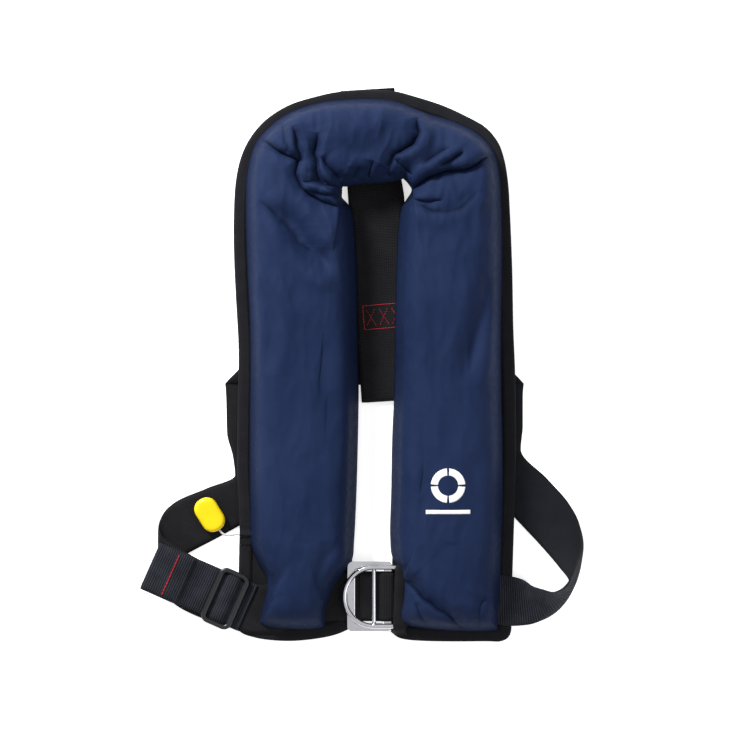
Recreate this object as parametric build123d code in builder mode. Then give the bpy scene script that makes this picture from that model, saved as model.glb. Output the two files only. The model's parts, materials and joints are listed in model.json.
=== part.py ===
"""Inflatable life jacket, laid on its back: X across the chest, Y towards the collar, Z up from the floor.

The origin is on the floor under the middle of the jacket. All sizes are in millimetres.
"""

import math
import os

from build123d import *

# Webbing
WEB_W = 50
WEB_T = 1.8
GAP = 0.3

# Levels of the flat layers, from the floor up
PANEL_Z, PANEL_T = 6.3, 1.5
PANEL_TOP = PANEL_Z + PANEL_T
BINDING_T = 1.0
BINDING_W = 12
COVER_TOP = 54.0
COVER_T = 1.2
BORDER_Z = 11.3
FRONT_Z = 10.0
BACK_RUN_Z = 3.0
FLOOR_RUN_Z = WEB_T / 2

# Outer edge of the jacket: corner points with their rounding
OUTER_EDGE = [
    ((-19, -267), 6),
    ((-58, -278), 60),
    ((-104, -278), 50),
    ((-127, -268), 14),
    ((-134, 175), 80),
    ((-112, 240), 50),
    ((-52, 270), 90),
    ((14, 278), 150),
    ((78, 262), 120),
    ((126, 236), 34),
    ((143, 185), 80),
    ((150, -70), 400),
    ((146, -278), 8),
    ((26, -278), 12),
    ((21, -260), 10),
    ((2, -235), 1),
]
# Neck opening, running out at the bottom between the lobes
NECK_EDGE = [
    ((-18, -300), 1),
    ((-14, -196), 200),
    ((-8, -20), 400),
    ((-11, 128), 40),
    ((-27, 157), 12),
    ((-26, 186), 16),
    ((12, 186), 40),
    ((44, 190), 14),
    ((50, 166), 10),
    ((35, 135), 40),
    ((27, -20), 400),
    ((24, -196), 200),
    ((21, -300), 1),
]
# Where the navy cover is cut back around the buckle, left and right
COVER_CUT_LEFT = [(-5, -190), (-42, -222), (-46, -254), (-30, -285), (10, -285)]
COVER_CUT_RIGHT = [(15, -190), (46, -206), (47, -262), (36, -285), (0, -285)]
# Shoulder seams, from the outer edge to the neck
LEFT_SEAM = [(-150, 254), (-5, 151)]
RIGHT_SEAM = [(170, 238), (30, 158)]

# Buckle
BUCKLE_Y = -233
FRAME_X = (-19, 26)
FRAME_H = 70
FRAME_BAR = 8
FRAME_T = 2.5
FRAME_Z = FRONT_Z + WEB_T / 2 + GAP
RING_ROD = 5
RING_R = 29.5
RING_X = 8
RING_END_X = 34
RING_Z = FRAME_Z + FRAME_T + GAP + RING_ROD / 2
CROSS_BAR = 4.5

# Belt adjuster and the belt's free tail, in the adjuster's own frame
ADJUSTER_C = (-141, -235)
ADJUSTER_TURN = 156
ADJUSTER_L, ADJUSTER_H = 33, 59
ADJUSTER_RAIL = 4
TAIL = [(-24, 12.0), (-14, 12.0), (-9, 12.4), (-4, 15.9), (0, 16.5), (4, 15.9), (9, 12.4), (14, 12.0)]
TAIL += [(24, 12.0), (32, 12.5), (38, 14.2), (44, 16.2), (52, 18.2), (60, 19.2), (80, 19.4), (81.4, 20.4)]
TAIL += [(80, 21.4), (60, 21.2), (52, 20.2), (44, 18.3)]

# Back strap
STRAP_TURN = 3.8
STRAP_C = (20.5, -37)
STRAP_LEN = 314
STRAP_LOOP = 72
STRAP_END = 104

# Inflator, in the left lobe
GAS_X, GAS_Z = -84, 26
CYLINDER_R = 14
HEAD_Y = (-160, -112)
LEVER_Y = -147
LEVER_ARM = 28
LEVER_SWING = 64
CORD_D = 2
CORD_Y = LEVER_Y - LEVER_ARM * math.cos(math.radians(LEVER_SWING / 2))
CORD_Z = 10.0
CORD_EXIT_X = -119.5
CAM_OFF, CAM_R = 6, 8
STUD = (-62, -122)

# Pull handle and its cord outside the jacket
HANDLE_C = (-157, -151.3, 9.6)
HANDLE_TURN = -58
HANDLE_L, HANDLE_W, HANDLE_T = 36, 24, 9
CORD_ROUTE = [
    (-92.3, CORD_Y, CORD_Z),
    (-110, CORD_Y - 0.8, CORD_Z),
    (-128.5, CORD_Y, CORD_Z),
    (-136.5, -171.9, 9.6),
    (-144.28, -171.65, 9.6),
    (-149.58, -163.17, 9.6),
]

# Oral tube and whistle, in the right lobe
ORAL_X, ORAL_Z = 84, 42
ORAL_Y = (-150, -20)
PACK_TOP = 31.5

os.makedirs("parts", exist_ok=True)


def save(name, part, label):
    part.label = label
    export_step(part, f"parts/{name}.step")


def rounded(corners):
    """A closed face through corners, each with its own rounding."""
    with BuildSketch() as sketch:
        with BuildLine():
            FilletPolyline(*[p for p, _ in corners], radius=[r for _, r in corners], close=True)
        make_face()
    return sketch.sketch


def polygon(points):
    with BuildSketch() as sketch:
        with BuildLine():
            Polyline(*points, close=True)
        make_face()
    return sketch.sketch


def slab(face, low, high):
    """The face as a plate between two heights."""
    return extrude(Pos(0, 0, low) * face, high - low)


def inset(face, distance):
    return offset(face, -distance)


def ribbon(stations, thickness=WEB_T):
    """Webbing through stations, each a pair of edge points, with straight rulings between them."""
    middles = [(Vector(*a) + Vector(*b)) * 0.5 for a, b in stations]
    last = len(stations) - 1
    sections = []
    for i, (a, b) in enumerate(stations):
        along = middles[min(i + 1, last)] - middles[max(i - 1, 0)]
        side = Vector(*b) - Vector(*a)
        plane = Plane(middles[i], x_dir=side, z_dir=side.cross(side.cross(along)))
        with BuildSketch(plane) as section:
            Rectangle(side.length, thickness)
        sections.append(section.sketch)
    pieces = [loft([near, far], ruled=True) for near, far in zip(sections, sections[1:])]
    return pieces[0].fuse(*pieces[1:])


outer_face = rounded(OUTER_EDGE)
neck_face = rounded(NECK_EDGE)
panel_face = inset(outer_face, 1.2) - neck_face


def across(x, y, z, heading, bank=0, width=WEB_W):
    """The two edge points of webbing centred at x, y, z and running at a heading."""
    turn, tilt = math.radians(heading), math.radians(bank)
    side = Vector(-math.sin(turn) * math.cos(tilt), math.cos(turn) * math.cos(tilt), math.sin(tilt))
    middle = Vector(x, y, z)
    return middle + side * (width / 2), middle - side * (width / 2)


def strip_along(profile, width=WEB_W):
    """Stations for webbing that follows a profile of x and z, centred on y = 0."""
    return [((x, width / 2, z), (x, -width / 2, z)) for x, z in profile]


def rod(points, diameter, name):
    """A round cord through points, with the largest smooth arc that fits at each turn."""
    spots = [Vector(*p) for p in points]
    legs = [b - a for a, b in zip(spots, spots[1:])]
    radii = []
    for before, after in zip(legs, legs[1:]):
        turn = math.radians(before.get_angle(after))
        radii.append(0.45 * min(before.length, after.length) / math.tan(turn / 2))
    with BuildPart() as tube:
        with BuildLine() as path:
            FilletPolyline(*spots, radius=radii)
        with BuildSketch(Plane(path.line @ 0, z_dir=path.line % 0)):
            Circle(diameter / 2)
        sweep()
    length = sum(edge.length for edge in path.line.edges())
    print(name, "runs", [round(leg.length, 1) for leg in legs], "radii", [round(r, 1) for r in radii])
    print(name, "length", round(length, 1))
    return tube.part


def turned(profile, axis):
    """A body of revolution from radius profile points along +Y from the axis point."""
    with BuildPart() as body:
        with BuildSketch(Plane(axis, x_dir=(0, 1, 0), z_dir=(1, 0, 0))):
            with BuildLine():
                Polyline(*profile, close=True)
            make_face()
        revolve(axis=Axis(axis, (0, 1, 0)))
    return body.part


# Back panel and edge binding
with BuildPart() as back_panel:
    add(slab(panel_face, PANEL_Z, PANEL_TOP))
save("back_panel", back_panel.part, "back_panel")

with BuildPart() as edge_binding:
    add(slab(outer_face - neck_face - inset(panel_face, BINDING_W), PANEL_TOP, PANEL_TOP + BINDING_T))
    add(slab(outer_face - inset(outer_face, 1.2) - neck_face, PANEL_Z, PANEL_TOP))
save("edge_binding", edge_binding.part, "edge_binding")

# Padded cover, cut into two lobes and a collar at the shoulder seams
RIM_Z = PANEL_TOP + BINDING_T
cut_away = polygon([*COVER_CUT_LEFT]) + polygon([*COVER_CUT_RIGHT])
cover_face = inset(panel_face, BINDING_W - 2) - cut_away
DOME = [(0, 26), (6, 37), (13, 45), (21, 51), (30, COVER_TOP)]


def dome(base, margin, low):
    """A stepped cushion over a base face, pulled in by a margin all over."""
    floor = low
    with BuildPart() as cushion:
        for step, top in DOME:
            add(slab(inset(base, step + margin) if step + margin else base, floor, top - margin))
            floor = top - margin
    return cushion.part


passages = [
    Pos(-80, -236, 11.1) * Box(120, 66, 4.8),
    Pos(100, -238, 11.1) * Box(120, 60, 4.8),
    Pos(-116, -235, 13.2) * Box(16, 60, 9),
    Pos(CORD_EXIT_X, CORD_Y, 11.4) * Box(16, 6, 5.2),
]
with BuildPart() as whole_cover:
    add(dome(cover_face, 0, RIM_Z))
    add(dome(cover_face, COVER_T, RIM_Z), mode=Mode.SUBTRACT)
    add(passages, mode=Mode.SUBTRACT)

above_left = polygon([LEFT_SEAM[0], LEFT_SEAM[1], (-5, 400), (-300, 400), (-300, 254)])
above_right = polygon([RIGHT_SEAM[0], RIGHT_SEAM[1], (-5, 158), (-5, 400), (300, 400), (300, 238)])
collar_zone = slab(above_left + above_right, 0, 80)
left_zone = slab(polygon([(-300, -400), (-5, -400), (-5, 400), (-300, 400)]), 0, 80)
for name, zone in [
    ("cover_collar", whole_cover.part & collar_zone),
    ("cover_left_lobe", (whole_cover.part - collar_zone) & left_zone),
    ("cover_right_lobe", (whole_cover.part - collar_zone) - left_zone),
]:
    with BuildPart() as panel:
        add(zone)
    save(name, panel.part, name)

# Folded bladder inside the cover, with room left for the inflator
pack_face = inset(panel_face, 17) - Pos(0, -290) * Rectangle(400, 200)
thick_face = inset(pack_face, 14) - Pos(-86, -90) * Rectangle(80, 280)
with BuildPart() as bladder:
    add(slab(pack_face, PANEL_TOP + 0.3, 8.9))
    add(slab(thick_face, 8.9, PACK_TOP))
save("bladder", bladder.part, "bladder")

# Gas cylinder, seal and inflator head
gas = (GAS_X, 0, GAS_Z)
neck = HEAD_Y[1]
shell = [(neck - 12, 2.2), (neck - 12, 5.4), (neck + 2, 5.4), (neck + 6, 7), (neck + 16, CYLINDER_R)]
shell += [(2, CYLINDER_R), (9, 10), (12, 0), (9.5, 0), (7, 8.5), (1, 12), (neck + 17, 12), (neck + 8, 5)]
shell += [(neck + 6, 2.2), (neck - 7, 2.2), (neck - 7, 0), (neck - 8, 0), (neck - 8, 2.2)]
with BuildPart() as gas_cylinder:
    add(turned(shell, gas))
save("gas_cylinder", gas_cylinder.part, "gas_cylinder")

with BuildPart() as cylinder_seal:
    add(turned([(neck - 14, 2), (neck - 14, 5.2), (neck - 12.3, 5.2), (neck - 12.3, 2)], gas))
save("cylinder_seal", cylinder_seal.part, "cylinder_seal")

head_mid = (HEAD_Y[0] + HEAD_Y[1]) / 2
with BuildPart() as inflator_head:
    with Locations((GAS_X, head_mid, GAS_Z)):
        Box(26, HEAD_Y[1] - HEAD_Y[0], 26)
    fillet(inflator_head.edges().filter_by(Axis.Y), 4)
    with Locations((GAS_X + 18, STUD[1], GAS_Z - 1)):
        Box(28, 20, 10)
    with Locations((STUD[0], STUD[1], GAS_Z)):
        Cylinder(3.3, 30, mode=Mode.SUBTRACT)
    with Locations((GAS_X, HEAD_Y[0] + 11.5, GAS_Z)):
        Box(40, 25, 5.2, mode=Mode.SUBTRACT)
    with Locations((GAS_X, LEVER_Y, GAS_Z)):
        Cylinder(1.75, 40, mode=Mode.SUBTRACT)
    bore = [(LEVER_Y - 2, 0), (LEVER_Y - 2, 7.6), (-130, 7.6), (-130, 1.9), (neck - 14, 1.9)]
    bore += [(neck - 14, 5.6), (neck + 1, 5.6), (neck + 1, 0)]
    add(turned(bore, gas), mode=Mode.SUBTRACT)
save("inflator_head", inflator_head.part, "inflator_head")

arm_turn = Rot(0, 0, -90 + LEVER_SWING / 2)
cam_turn = Rot(0, 0, 180 + LEVER_SWING / 2)
lever_spot = Pos(GAS_X, LEVER_Y, GAS_Z - 2.3)
with BuildPart() as firing_lever:
    with BuildSketch():
        Circle(4)
        with Locations(cam_turn * Pos(CAM_OFF, 0)):
            Circle(CAM_R)
        with Locations(arm_turn * Pos(LEVER_ARM / 2, 0)):
            Rectangle(LEVER_ARM, 5.4)
        with Locations(arm_turn * Pos(LEVER_ARM, 0)):
            Circle(3.6)
            Circle(1.3, mode=Mode.SUBTRACT)
        Circle(1.95, mode=Mode.SUBTRACT)
    extrude(amount=4.6)
save("firing_lever", lever_spot * firing_lever.part, "firing_lever")

with BuildPart() as lever_pivot:
    with Locations((GAS_X, LEVER_Y, GAS_Z)):
        Cylinder(1.7, 26)
save("lever_pivot", lever_pivot.part, "lever_pivot")

cam_low = CAM_R - CAM_OFF * math.sin(math.radians(LEVER_SWING / 2))
pin_back = LEVER_Y + cam_low + 0.25
pin = [(pin_back, 0), (pin_back, 7.2), (pin_back + 3, 7.2), (pin_back + 3, 1.4), (-129, 1.4), (-127.4, 0)]
with BuildPart() as firing_pin:
    add(turned(pin, gas))
save("firing_pin", firing_pin.part, "firing_pin")

with BuildPart() as pin_spring:
    with BuildLine() as coil:
        Helix(2.6, 7.4, 4.4, (GAS_X, pin_back + 3.7, GAS_Z), (0, 1, 0))
    with BuildSketch(Plane(coil.line @ 0, z_dir=coil.line % 0)):
        Circle(0.4)
    sweep(is_frenet=True)
save("pin_spring", pin_spring.part, "pin_spring")

with BuildPart() as manifold_stud:
    with Locations((STUD[0], STUD[1], 9.1)):
        Cylinder(12, 2, align=(Align.CENTER, Align.CENTER, Align.MIN))
        Cylinder(3.1, 29, align=(Align.CENTER, Align.CENTER, Align.MIN))
save("manifold_stud", manifold_stud.part, "manifold_stud")

with BuildPart() as manifold_nut:
    with BuildSketch(Plane.XY.offset(GAS_Z + 4.2)):
        with Locations(STUD):
            RegularPolygon(6.5, 6)
            Circle(3.1, mode=Mode.SUBTRACT)
    extrude(amount=5.5)
save("manifold_nut", manifold_nut.part, "manifold_nut")

with BuildPart() as status_clip:
    with Locations((GAS_X - 15.8, LEVER_Y - 5, GAS_Z)):
        Box(2, 12, 20)
save("status_clip", status_clip.part, "status_clip")

# Pull cord: out of sight to the lever, then out to the handle
tip_x = GAS_X + LEVER_ARM * math.sin(math.radians(LEVER_SWING / 2))
inner_route = [(tip_x - 5, CORD_Y, GAS_Z), (-83, CORD_Y, CORD_Z + 2.5), (-92, CORD_Y, CORD_Z)]
inner_cord = rod(inner_route, CORD_D, "pull_cord_inner")
with BuildPart() as pull_cord_inner:
    add(inner_cord)
save("pull_cord_inner", pull_cord_inner.part, "pull_cord_inner")

outer_cord = rod(CORD_ROUTE, CORD_D, "pull_cord")
with BuildPart() as pull_cord:
    add(outer_cord)
save("pull_cord", pull_cord.part, "pull_cord")

with BuildPart() as pull_handle:
    with BuildSketch():
        SlotOverall(HANDLE_L, HANDLE_W)
    extrude(amount=HANDLE_T / 2, both=True)
    fillet(pull_handle.edges(), 3.6)
    with Locations(Location((HANDLE_L / 2, 0, 0), (0, 90, 0))):
        Cylinder(CORD_D / 2 + 0.2, 24, mode=Mode.SUBTRACT)
save("pull_handle", Pos(*HANDLE_C) * Rot(0, 0, HANDLE_TURN) * pull_handle.part, "pull_handle")

# Oral tube, valve, cap and whistle
oral = (ORAL_X, 0, ORAL_Z)
with BuildPart() as oral_tube:
    add(turned([(ORAL_Y[0], 4.4), (ORAL_Y[0], 6), (ORAL_Y[1], 6), (ORAL_Y[1], 4.4)], oral))
save("oral_tube", oral_tube.part, "oral_tube")

with BuildPart() as oral_elbow:
    with Locations((ORAL_X, ORAL_Y[1] + 8, ORAL_Z - 2)):
        Box(16, 16, 17)
    with Locations((ORAL_X, ORAL_Y[1] + 8, PACK_TOP)):
        Cylinder(14, 1.5, align=(Align.CENTER, Align.CENTER, Align.MIN))
save("oral_elbow", oral_elbow.part, "oral_elbow")

valve_y = ORAL_Y[0]
body = [(valve_y, 3.4), (valve_y, 8), (valve_y - 18, 8), (valve_y - 18, 3.4)]
with BuildPart() as oral_valve:
    add(turned(body, oral))
save("oral_valve", oral_valve.part, "oral_valve")

stem = [(valve_y - 4, 0), (valve_y - 4, 3.1), (valve_y - 19.5, 3.1), (valve_y - 19.5, 0)]
with BuildPart() as valve_plunger:
    add(turned(stem, oral))
save("valve_plunger", valve_plunger.part, "valve_plunger")

cap = [(valve_y - 10, 8.3), (valve_y - 10, 9.6), (valve_y - 24, 9.6), (valve_y - 24, 0)]
cap += [(valve_y - 22.4, 0), (valve_y - 22.4, 8.3)]
with BuildPart() as dust_cap:
    add(turned(cap, oral))
save("dust_cap", dust_cap.part, "dust_cap")

with BuildPart() as whistle:
    with Locations((106, -132, PACK_TOP + 4.2)):
        Box(14, 44, 8)
    fillet(whistle.edges().filter_by(Axis.Y), 3)
    with Locations((106, -128, PACK_TOP + 5)):
        Box(9, 30, 5, mode=Mode.SUBTRACT)
    with Locations((106, -126, PACK_TOP + 7)):
        Box(9, 4, 6, mode=Mode.SUBTRACT)
save("whistle", whistle.part, "whistle")

# Back strap: folded back under itself to make the loop that the belt runs through
strap_profile = [(STRAP_LEN, 5.1), (3, 5.1), (0.8, 4.4), (0.2, 3), (0.8, 1.6), (3, FLOOR_RUN_Z)]
strap_profile += [(STRAP_LOOP - 4, FLOOR_RUN_Z), (STRAP_LOOP + 4, 3.25), (STRAP_END, 3.25)]
strap_spot = Pos(*STRAP_C, 0) * Rot(0, 0, 90 + STRAP_TURN)
strap_body = ribbon(strip_along(strap_profile))
with BuildPart() as back_strap:
    add(strap_body)
save("back_strap", strap_spot * back_strap.part, "back_strap")

# Waist belt: from the buckle frame, under the adjuster, round the left loop, behind, and round the right
at_buckle = [(-6, 12.1), (6, 12.1), (12, 12.5), (18, 14.95), (25.5, 14.95), (27.3, 14.2), (28, 12.45)]
at_buckle += [(27.3, 10.7), (25.5, FRONT_Z), (-24, FRONT_Z), (-44, FRONT_Z)]
belt = [((x, BUCKLE_Y + 25, z), (x, BUCKLE_Y - 25, z)) for x, z in at_buckle]
belt += [
    across(-62, -235, FRONT_Z, 8),
    across(-80, -241, FRONT_Z, 18),
    across(-97, -246, FRONT_Z, 8),
    across(-108, -246.5, FRONT_Z, -12),
    across(-120, -244, FRONT_Z, -24),
    across(-186, -214.6, FRONT_Z, -24),
    ((-205, -172, 9.3), (-205, -222, 9.3)),
    ((-208.5, -163, 6), (-208.5, -211, 6)),
    ((-205, -152, 2), (-203, -204, 2)),
    ((-192, -139, 1), (-176, -189, 1)),
    ((-160, -125, FLOOR_RUN_Z), (-142, -171, FLOOR_RUN_Z)),
    ((-132, -112, FLOOR_RUN_Z), (-118, -156, FLOOR_RUN_Z)),
    ((-134, -94, FLOOR_RUN_Z), (-97, -128, FLOOR_RUN_Z)),
    ((-140, -70, FLOOR_RUN_Z), (-91, -84, FLOOR_RUN_Z)),
    ((-141, -32, FLOOR_RUN_Z), (-91, 18, FLOOR_RUN_Z)),
    ((-141.8, -20, 2), (-91.8, 30, 2)),
    ((-139, -19, BACK_RUN_Z), (-89, 31, BACK_RUN_Z)),
    ((-60, -21, BACK_RUN_Z), (-60, 29, BACK_RUN_Z)),
    ((60, -21, BACK_RUN_Z), (60, 29, BACK_RUN_Z)),
    ((156, -19, BACK_RUN_Z), (106, 31, BACK_RUN_Z)),
    ((158.8, -20, 2), (108.8, 30, 2)),
    ((158, -32, FLOOR_RUN_Z), (108, 18, FLOOR_RUN_Z)),
    ((158, -62, FLOOR_RUN_Z), (108, -66, FLOOR_RUN_Z)),
    ((156, -86, FLOOR_RUN_Z), (114, -114, FLOOR_RUN_Z)),
    ((183, -116, 1.2), (149, -154, 1.2)),
    ((204, -140, 1.8), (176, -183, 6)),
    ((214.5, -160, 2), (193, -203, 18)),
    ((219, -182, 2), (202, -216, 33)),
    ((216, -205, 2.4), (195, -224, 40)),
    ((206, -232, 3.6), (185, -226, 42)),
    ((192, -249, 5.6), (176, -224, 38)),
    ((178, -257, 8), (167, -222, 27)),
    ((162, -262, 9.4), (157, -216, 14)),
    ((147, -263, FRONT_Z), (145, -213, FRONT_Z)),
    ((120, -260, FRONT_Z), (120, -210, FRONT_Z)),
    ((70, -258, FRONT_Z), (70, -208, FRONT_Z)),
]
ring_wrap = [(41, FRONT_Z)]
for turn in (-60, -110, -160, -210, -260, -310):
    angle = math.radians(turn)
    ring_wrap.append((RING_END_X + 4.1 * math.cos(angle), RING_Z + 4.1 * math.sin(angle)))
ring_wrap += [(45, 12.3), (66, 11.9)]
belt += [((x, BUCKLE_Y - 25, z), (x, BUCKLE_Y + 25, z)) for x, z in ring_wrap]
belt_body = ribbon(belt)
with BuildPart() as waist_belt:
    add(belt_body)
save("waist_belt", waist_belt.part, "waist_belt")

for side, x in [("left", -52), ("right", 84)]:
    with BuildPart() as carrier:
        with Locations((x, 4, PANEL_Z / 2 + 0.3)):
            Box(24, 60, PANEL_Z - 0.6)
            Box(24, 54, PANEL_Z - 3, mode=Mode.SUBTRACT)
    save(f"belt_carrier_{side}", carrier.part, f"belt_carrier_{side}")

# Buckle frame and D ring
frame_mid = (FRAME_X[0] + FRAME_X[1]) / 2
frame_w = FRAME_X[1] - FRAME_X[0]
with BuildPart() as buckle_frame:
    with BuildSketch(Plane.XY.offset(FRAME_Z)):
        with Locations((frame_mid, BUCKLE_Y)):
            RectangleRounded(frame_w, FRAME_H, 5)
            RectangleRounded(frame_w - 2 * FRAME_BAR, FRAME_H - 2 * FRAME_BAR, 3, mode=Mode.SUBTRACT)
    extrude(amount=FRAME_T)
    chamfer(buckle_frame.edges().group_by(Axis.Z)[-1], 0.5)
save("buckle_frame", buckle_frame.part, "buckle_frame")

with BuildPart() as d_ring:
    with BuildLine(Plane.XY.offset(RING_Z)) as outline:
        top = (RING_END_X, BUCKLE_Y + RING_R)
        bottom = (RING_END_X, BUCKLE_Y - RING_R)
        Line(top, (RING_X, BUCKLE_Y + RING_R))
        ThreePointArc((RING_X, BUCKLE_Y + RING_R), (RING_X - RING_R, BUCKLE_Y), (RING_X, BUCKLE_Y - RING_R))
        Line((RING_X, BUCKLE_Y - RING_R), bottom)
    with BuildSketch(Plane(outline.line @ 0, z_dir=outline.line % 0)):
        Circle(RING_ROD / 2)
    sweep()
    for x, width in [(RING_END_X, RING_ROD), (RING_X, CROSS_BAR)]:
        with Locations(Location((x, BUCKLE_Y, RING_Z), (90, 0, 0))):
            Cylinder(width / 2, 2 * RING_R)
    for y in (BUCKLE_Y - RING_R, BUCKLE_Y + RING_R):
        with Locations((RING_END_X, y, RING_Z)):
            Sphere(RING_ROD / 2)
save("d_ring", d_ring.part, "d_ring")

# Adjuster and the tail of the belt threaded through it
adjuster_spot = Pos(*ADJUSTER_C, 0) * Rot(0, 0, ADJUSTER_TURN)
BAR_Z = 13.3
with BuildPart() as belt_adjuster:
    with BuildSketch(Plane.XY.offset(BAR_Z)):
        RectangleRounded(ADJUSTER_L, ADJUSTER_H, 4)
        for x in (-7.5, 7.5):
            with Locations((x, 0)):
                Rectangle(9.6, ADJUSTER_H - 2 * ADJUSTER_RAIL, mode=Mode.SUBTRACT)
    extrude(amount=4)
    with Locations((0, 0, BAR_Z + 3.1)):
        Box(5.6, WEB_W + 1, 3, mode=Mode.SUBTRACT)
    fillet(belt_adjuster.edges().group_by(Axis.Z)[-1], 0.9)
save("belt_adjuster", adjuster_spot * belt_adjuster.part, "belt_adjuster")

tail_body = ribbon(strip_along([(x, z + 0.1) for x, z in TAIL]))
with BuildPart() as belt_tail:
    add(tail_body)
save("belt_tail", adjuster_spot * belt_tail.part, "belt_tail")

# Printed mark on the right lobe
with BuildPart() as printed_ring:
    with BuildSketch(Plane.XY.offset(COVER_TOP)):
        with Locations((81, -120)):
            Circle(17)
            Circle(10, mode=Mode.SUBTRACT)
    extrude(amount=0.4)
save("printed_ring", printed_ring.part, "printed_ring")

with BuildPart() as printed_bar:
    with BuildSketch(Plane.XY.offset(COVER_TOP)):
        with Locations((81, -146)):
            Rectangle(44, 4)
    extrude(amount=0.4)
save("printed_bar", printed_bar.part, "printed_bar")
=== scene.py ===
"""Looks for the inflatable life jacket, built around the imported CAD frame."""

import json
import math

import bpy
import numpy as np
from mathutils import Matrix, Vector, noise
from mathutils.bvhtree import BVHTree

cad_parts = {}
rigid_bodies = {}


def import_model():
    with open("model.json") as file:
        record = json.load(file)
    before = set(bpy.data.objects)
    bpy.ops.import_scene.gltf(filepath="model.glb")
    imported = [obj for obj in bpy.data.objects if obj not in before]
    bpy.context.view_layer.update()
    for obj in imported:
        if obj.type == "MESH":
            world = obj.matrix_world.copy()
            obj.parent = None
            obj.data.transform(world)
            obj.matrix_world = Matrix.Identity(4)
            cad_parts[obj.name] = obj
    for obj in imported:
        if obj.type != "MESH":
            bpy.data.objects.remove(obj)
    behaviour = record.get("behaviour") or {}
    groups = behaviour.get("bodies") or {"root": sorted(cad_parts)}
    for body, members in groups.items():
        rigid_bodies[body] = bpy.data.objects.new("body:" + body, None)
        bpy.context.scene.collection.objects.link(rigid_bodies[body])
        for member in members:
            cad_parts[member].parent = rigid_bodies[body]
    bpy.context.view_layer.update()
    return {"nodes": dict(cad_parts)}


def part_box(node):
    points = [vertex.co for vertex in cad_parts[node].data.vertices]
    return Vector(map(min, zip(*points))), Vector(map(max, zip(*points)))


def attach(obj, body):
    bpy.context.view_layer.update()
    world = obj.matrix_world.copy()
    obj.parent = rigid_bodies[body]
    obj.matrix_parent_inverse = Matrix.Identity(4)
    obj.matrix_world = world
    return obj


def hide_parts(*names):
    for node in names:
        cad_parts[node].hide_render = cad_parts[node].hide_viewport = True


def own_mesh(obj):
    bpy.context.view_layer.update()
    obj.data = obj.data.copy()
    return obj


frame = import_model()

NODES = frame["nodes"]
# Sizes below are in millimetres, and MM turns them into metres.
MM = 0.001
# Rays that look for a top start at this height and go down
ABOVE, DOWN = 200 * MM, Vector((0, 0, -1))

# ---------------------------------------------------------------- meshes


def link(obj):
    bpy.context.scene.collection.objects.link(obj)
    return obj


def mesh_object(name, verts, faces, uvs=None):
    """A new mesh piece, in metres. uvs holds one pair for each vertex, in metres."""
    mesh = bpy.data.meshes.new(name)
    mesh.from_pydata([tuple(v) for v in verts], [], [tuple(f) for f in faces])
    if uvs is not None:
        layer = mesh.uv_layers.new(name="weave")
        for loop in mesh.loops:
            layer.data[loop.index].uv = uvs[loop.vertex_index]
    for poly in mesh.polygons:
        poly.use_smooth = True
    mesh.update()
    return link(bpy.data.objects.new(name, mesh))


def grid_faces(rows, cols, wrap_cols=False, start=0, flip=False):
    """Quads over rows of points, closed round each row if wrap_cols."""
    faces = []
    span = cols if wrap_cols else cols - 1
    for i in range(rows - 1):
        for j in range(span):
            k = (j + 1) % cols
            face = [i * cols + j, i * cols + k, (i + 1) * cols + k, (i + 1) * cols + j]
            face = [start + f for f in face]
            faces.append(face[::-1] if flip else face)
    return faces


def end_caps(rows, cols, flip=False):
    """The two polygons that close a tube of rows of points."""
    first, last = list(range(cols)), list(range((rows - 1) * cols, rows * cols))
    return [first[::-1], last] if flip else [first, last[::-1]]


def closing_faces(cols, last):
    """Quads that join the last row of points, which starts at last, to the first."""
    return [[last + k, last + (k + 1) % cols, (k + 1) % cols, k] for k in range(cols)]


def slab_faces(rows, cols, flip=False):
    """A sheet of points and its copy below it, closed at the border. flip turns it face up."""
    count = rows * cols
    faces = grid_faces(rows, cols, flip=flip) + grid_faces(rows, cols, start=count, flip=not flip)
    border = list(range(cols)) + [i * cols + cols - 1 for i in range(1, rows)]
    border += [(rows - 1) * cols + j for j in range(cols - 2, -1, -1)]
    border += [i * cols for i in range(rows - 2, 0, -1)]
    for a, b in zip(border, border[1:] + border[:1]):
        a, b = (a, b) if flip else (b, a)
        faces.append([a, b, b + count, a + count])
    return faces


def run_along(points):
    """The length along a line of points up to each of them."""
    return np.concatenate([[0], np.cumsum(np.linalg.norm(np.diff(points, axis=0), axis=1))])


def smooth_line(points, step, tight=False):
    """A smooth curve through points, sampled about every step. A tight one never swings past them."""
    p = np.array(points, float)
    seg = np.linalg.norm(np.diff(p, axis=0), axis=1) ** (1.0 if tight else 0.5)
    t = np.concatenate([[0], np.cumsum(seg)])
    slope = np.gradient(p, t, axis=0)
    if tight:
        rise = np.diff(p, axis=0) / seg[:, None]
        a, b = rise[:-1], rise[1:]
        wa, wb = (2 * seg[1:] + seg[:-1])[:, None], (seg[1:] + 2 * seg[:-1])[:, None]
        same = a * b > 1e-12
        safe_a, safe_b = np.where(same, a, 1), np.where(same, b, 1)
        slope[1:-1] = np.where(same, (wa + wb) / (wa / safe_a + wb / safe_b), 0)
        slope[0], slope[-1] = rise[0], rise[-1]
    out = []
    for i in range(len(p) - 1):
        n = max(1, int(round(np.linalg.norm(p[i + 1] - p[i]) / step)))
        h = t[i + 1] - t[i]
        for k in range(n):
            s = k / n
            a, b = 2 * s**3 - 3 * s**2 + 1, s**3 - 2 * s**2 + s
            c, d = 3 * s**2 - 2 * s**3, s**3 - s**2
            out.append(a * p[i] + b * h * slope[i] + c * p[i + 1] + d * h * slope[i + 1])
    out.append(p[-1])
    return np.array(out)


def unit(v):
    return v / np.maximum(np.linalg.norm(v, axis=-1, keepdims=True), 1e-12)


def discard(obj):
    """Removes an object and its mesh."""
    old = obj.data
    bpy.data.objects.remove(obj)
    bpy.data.meshes.remove(old)


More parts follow.
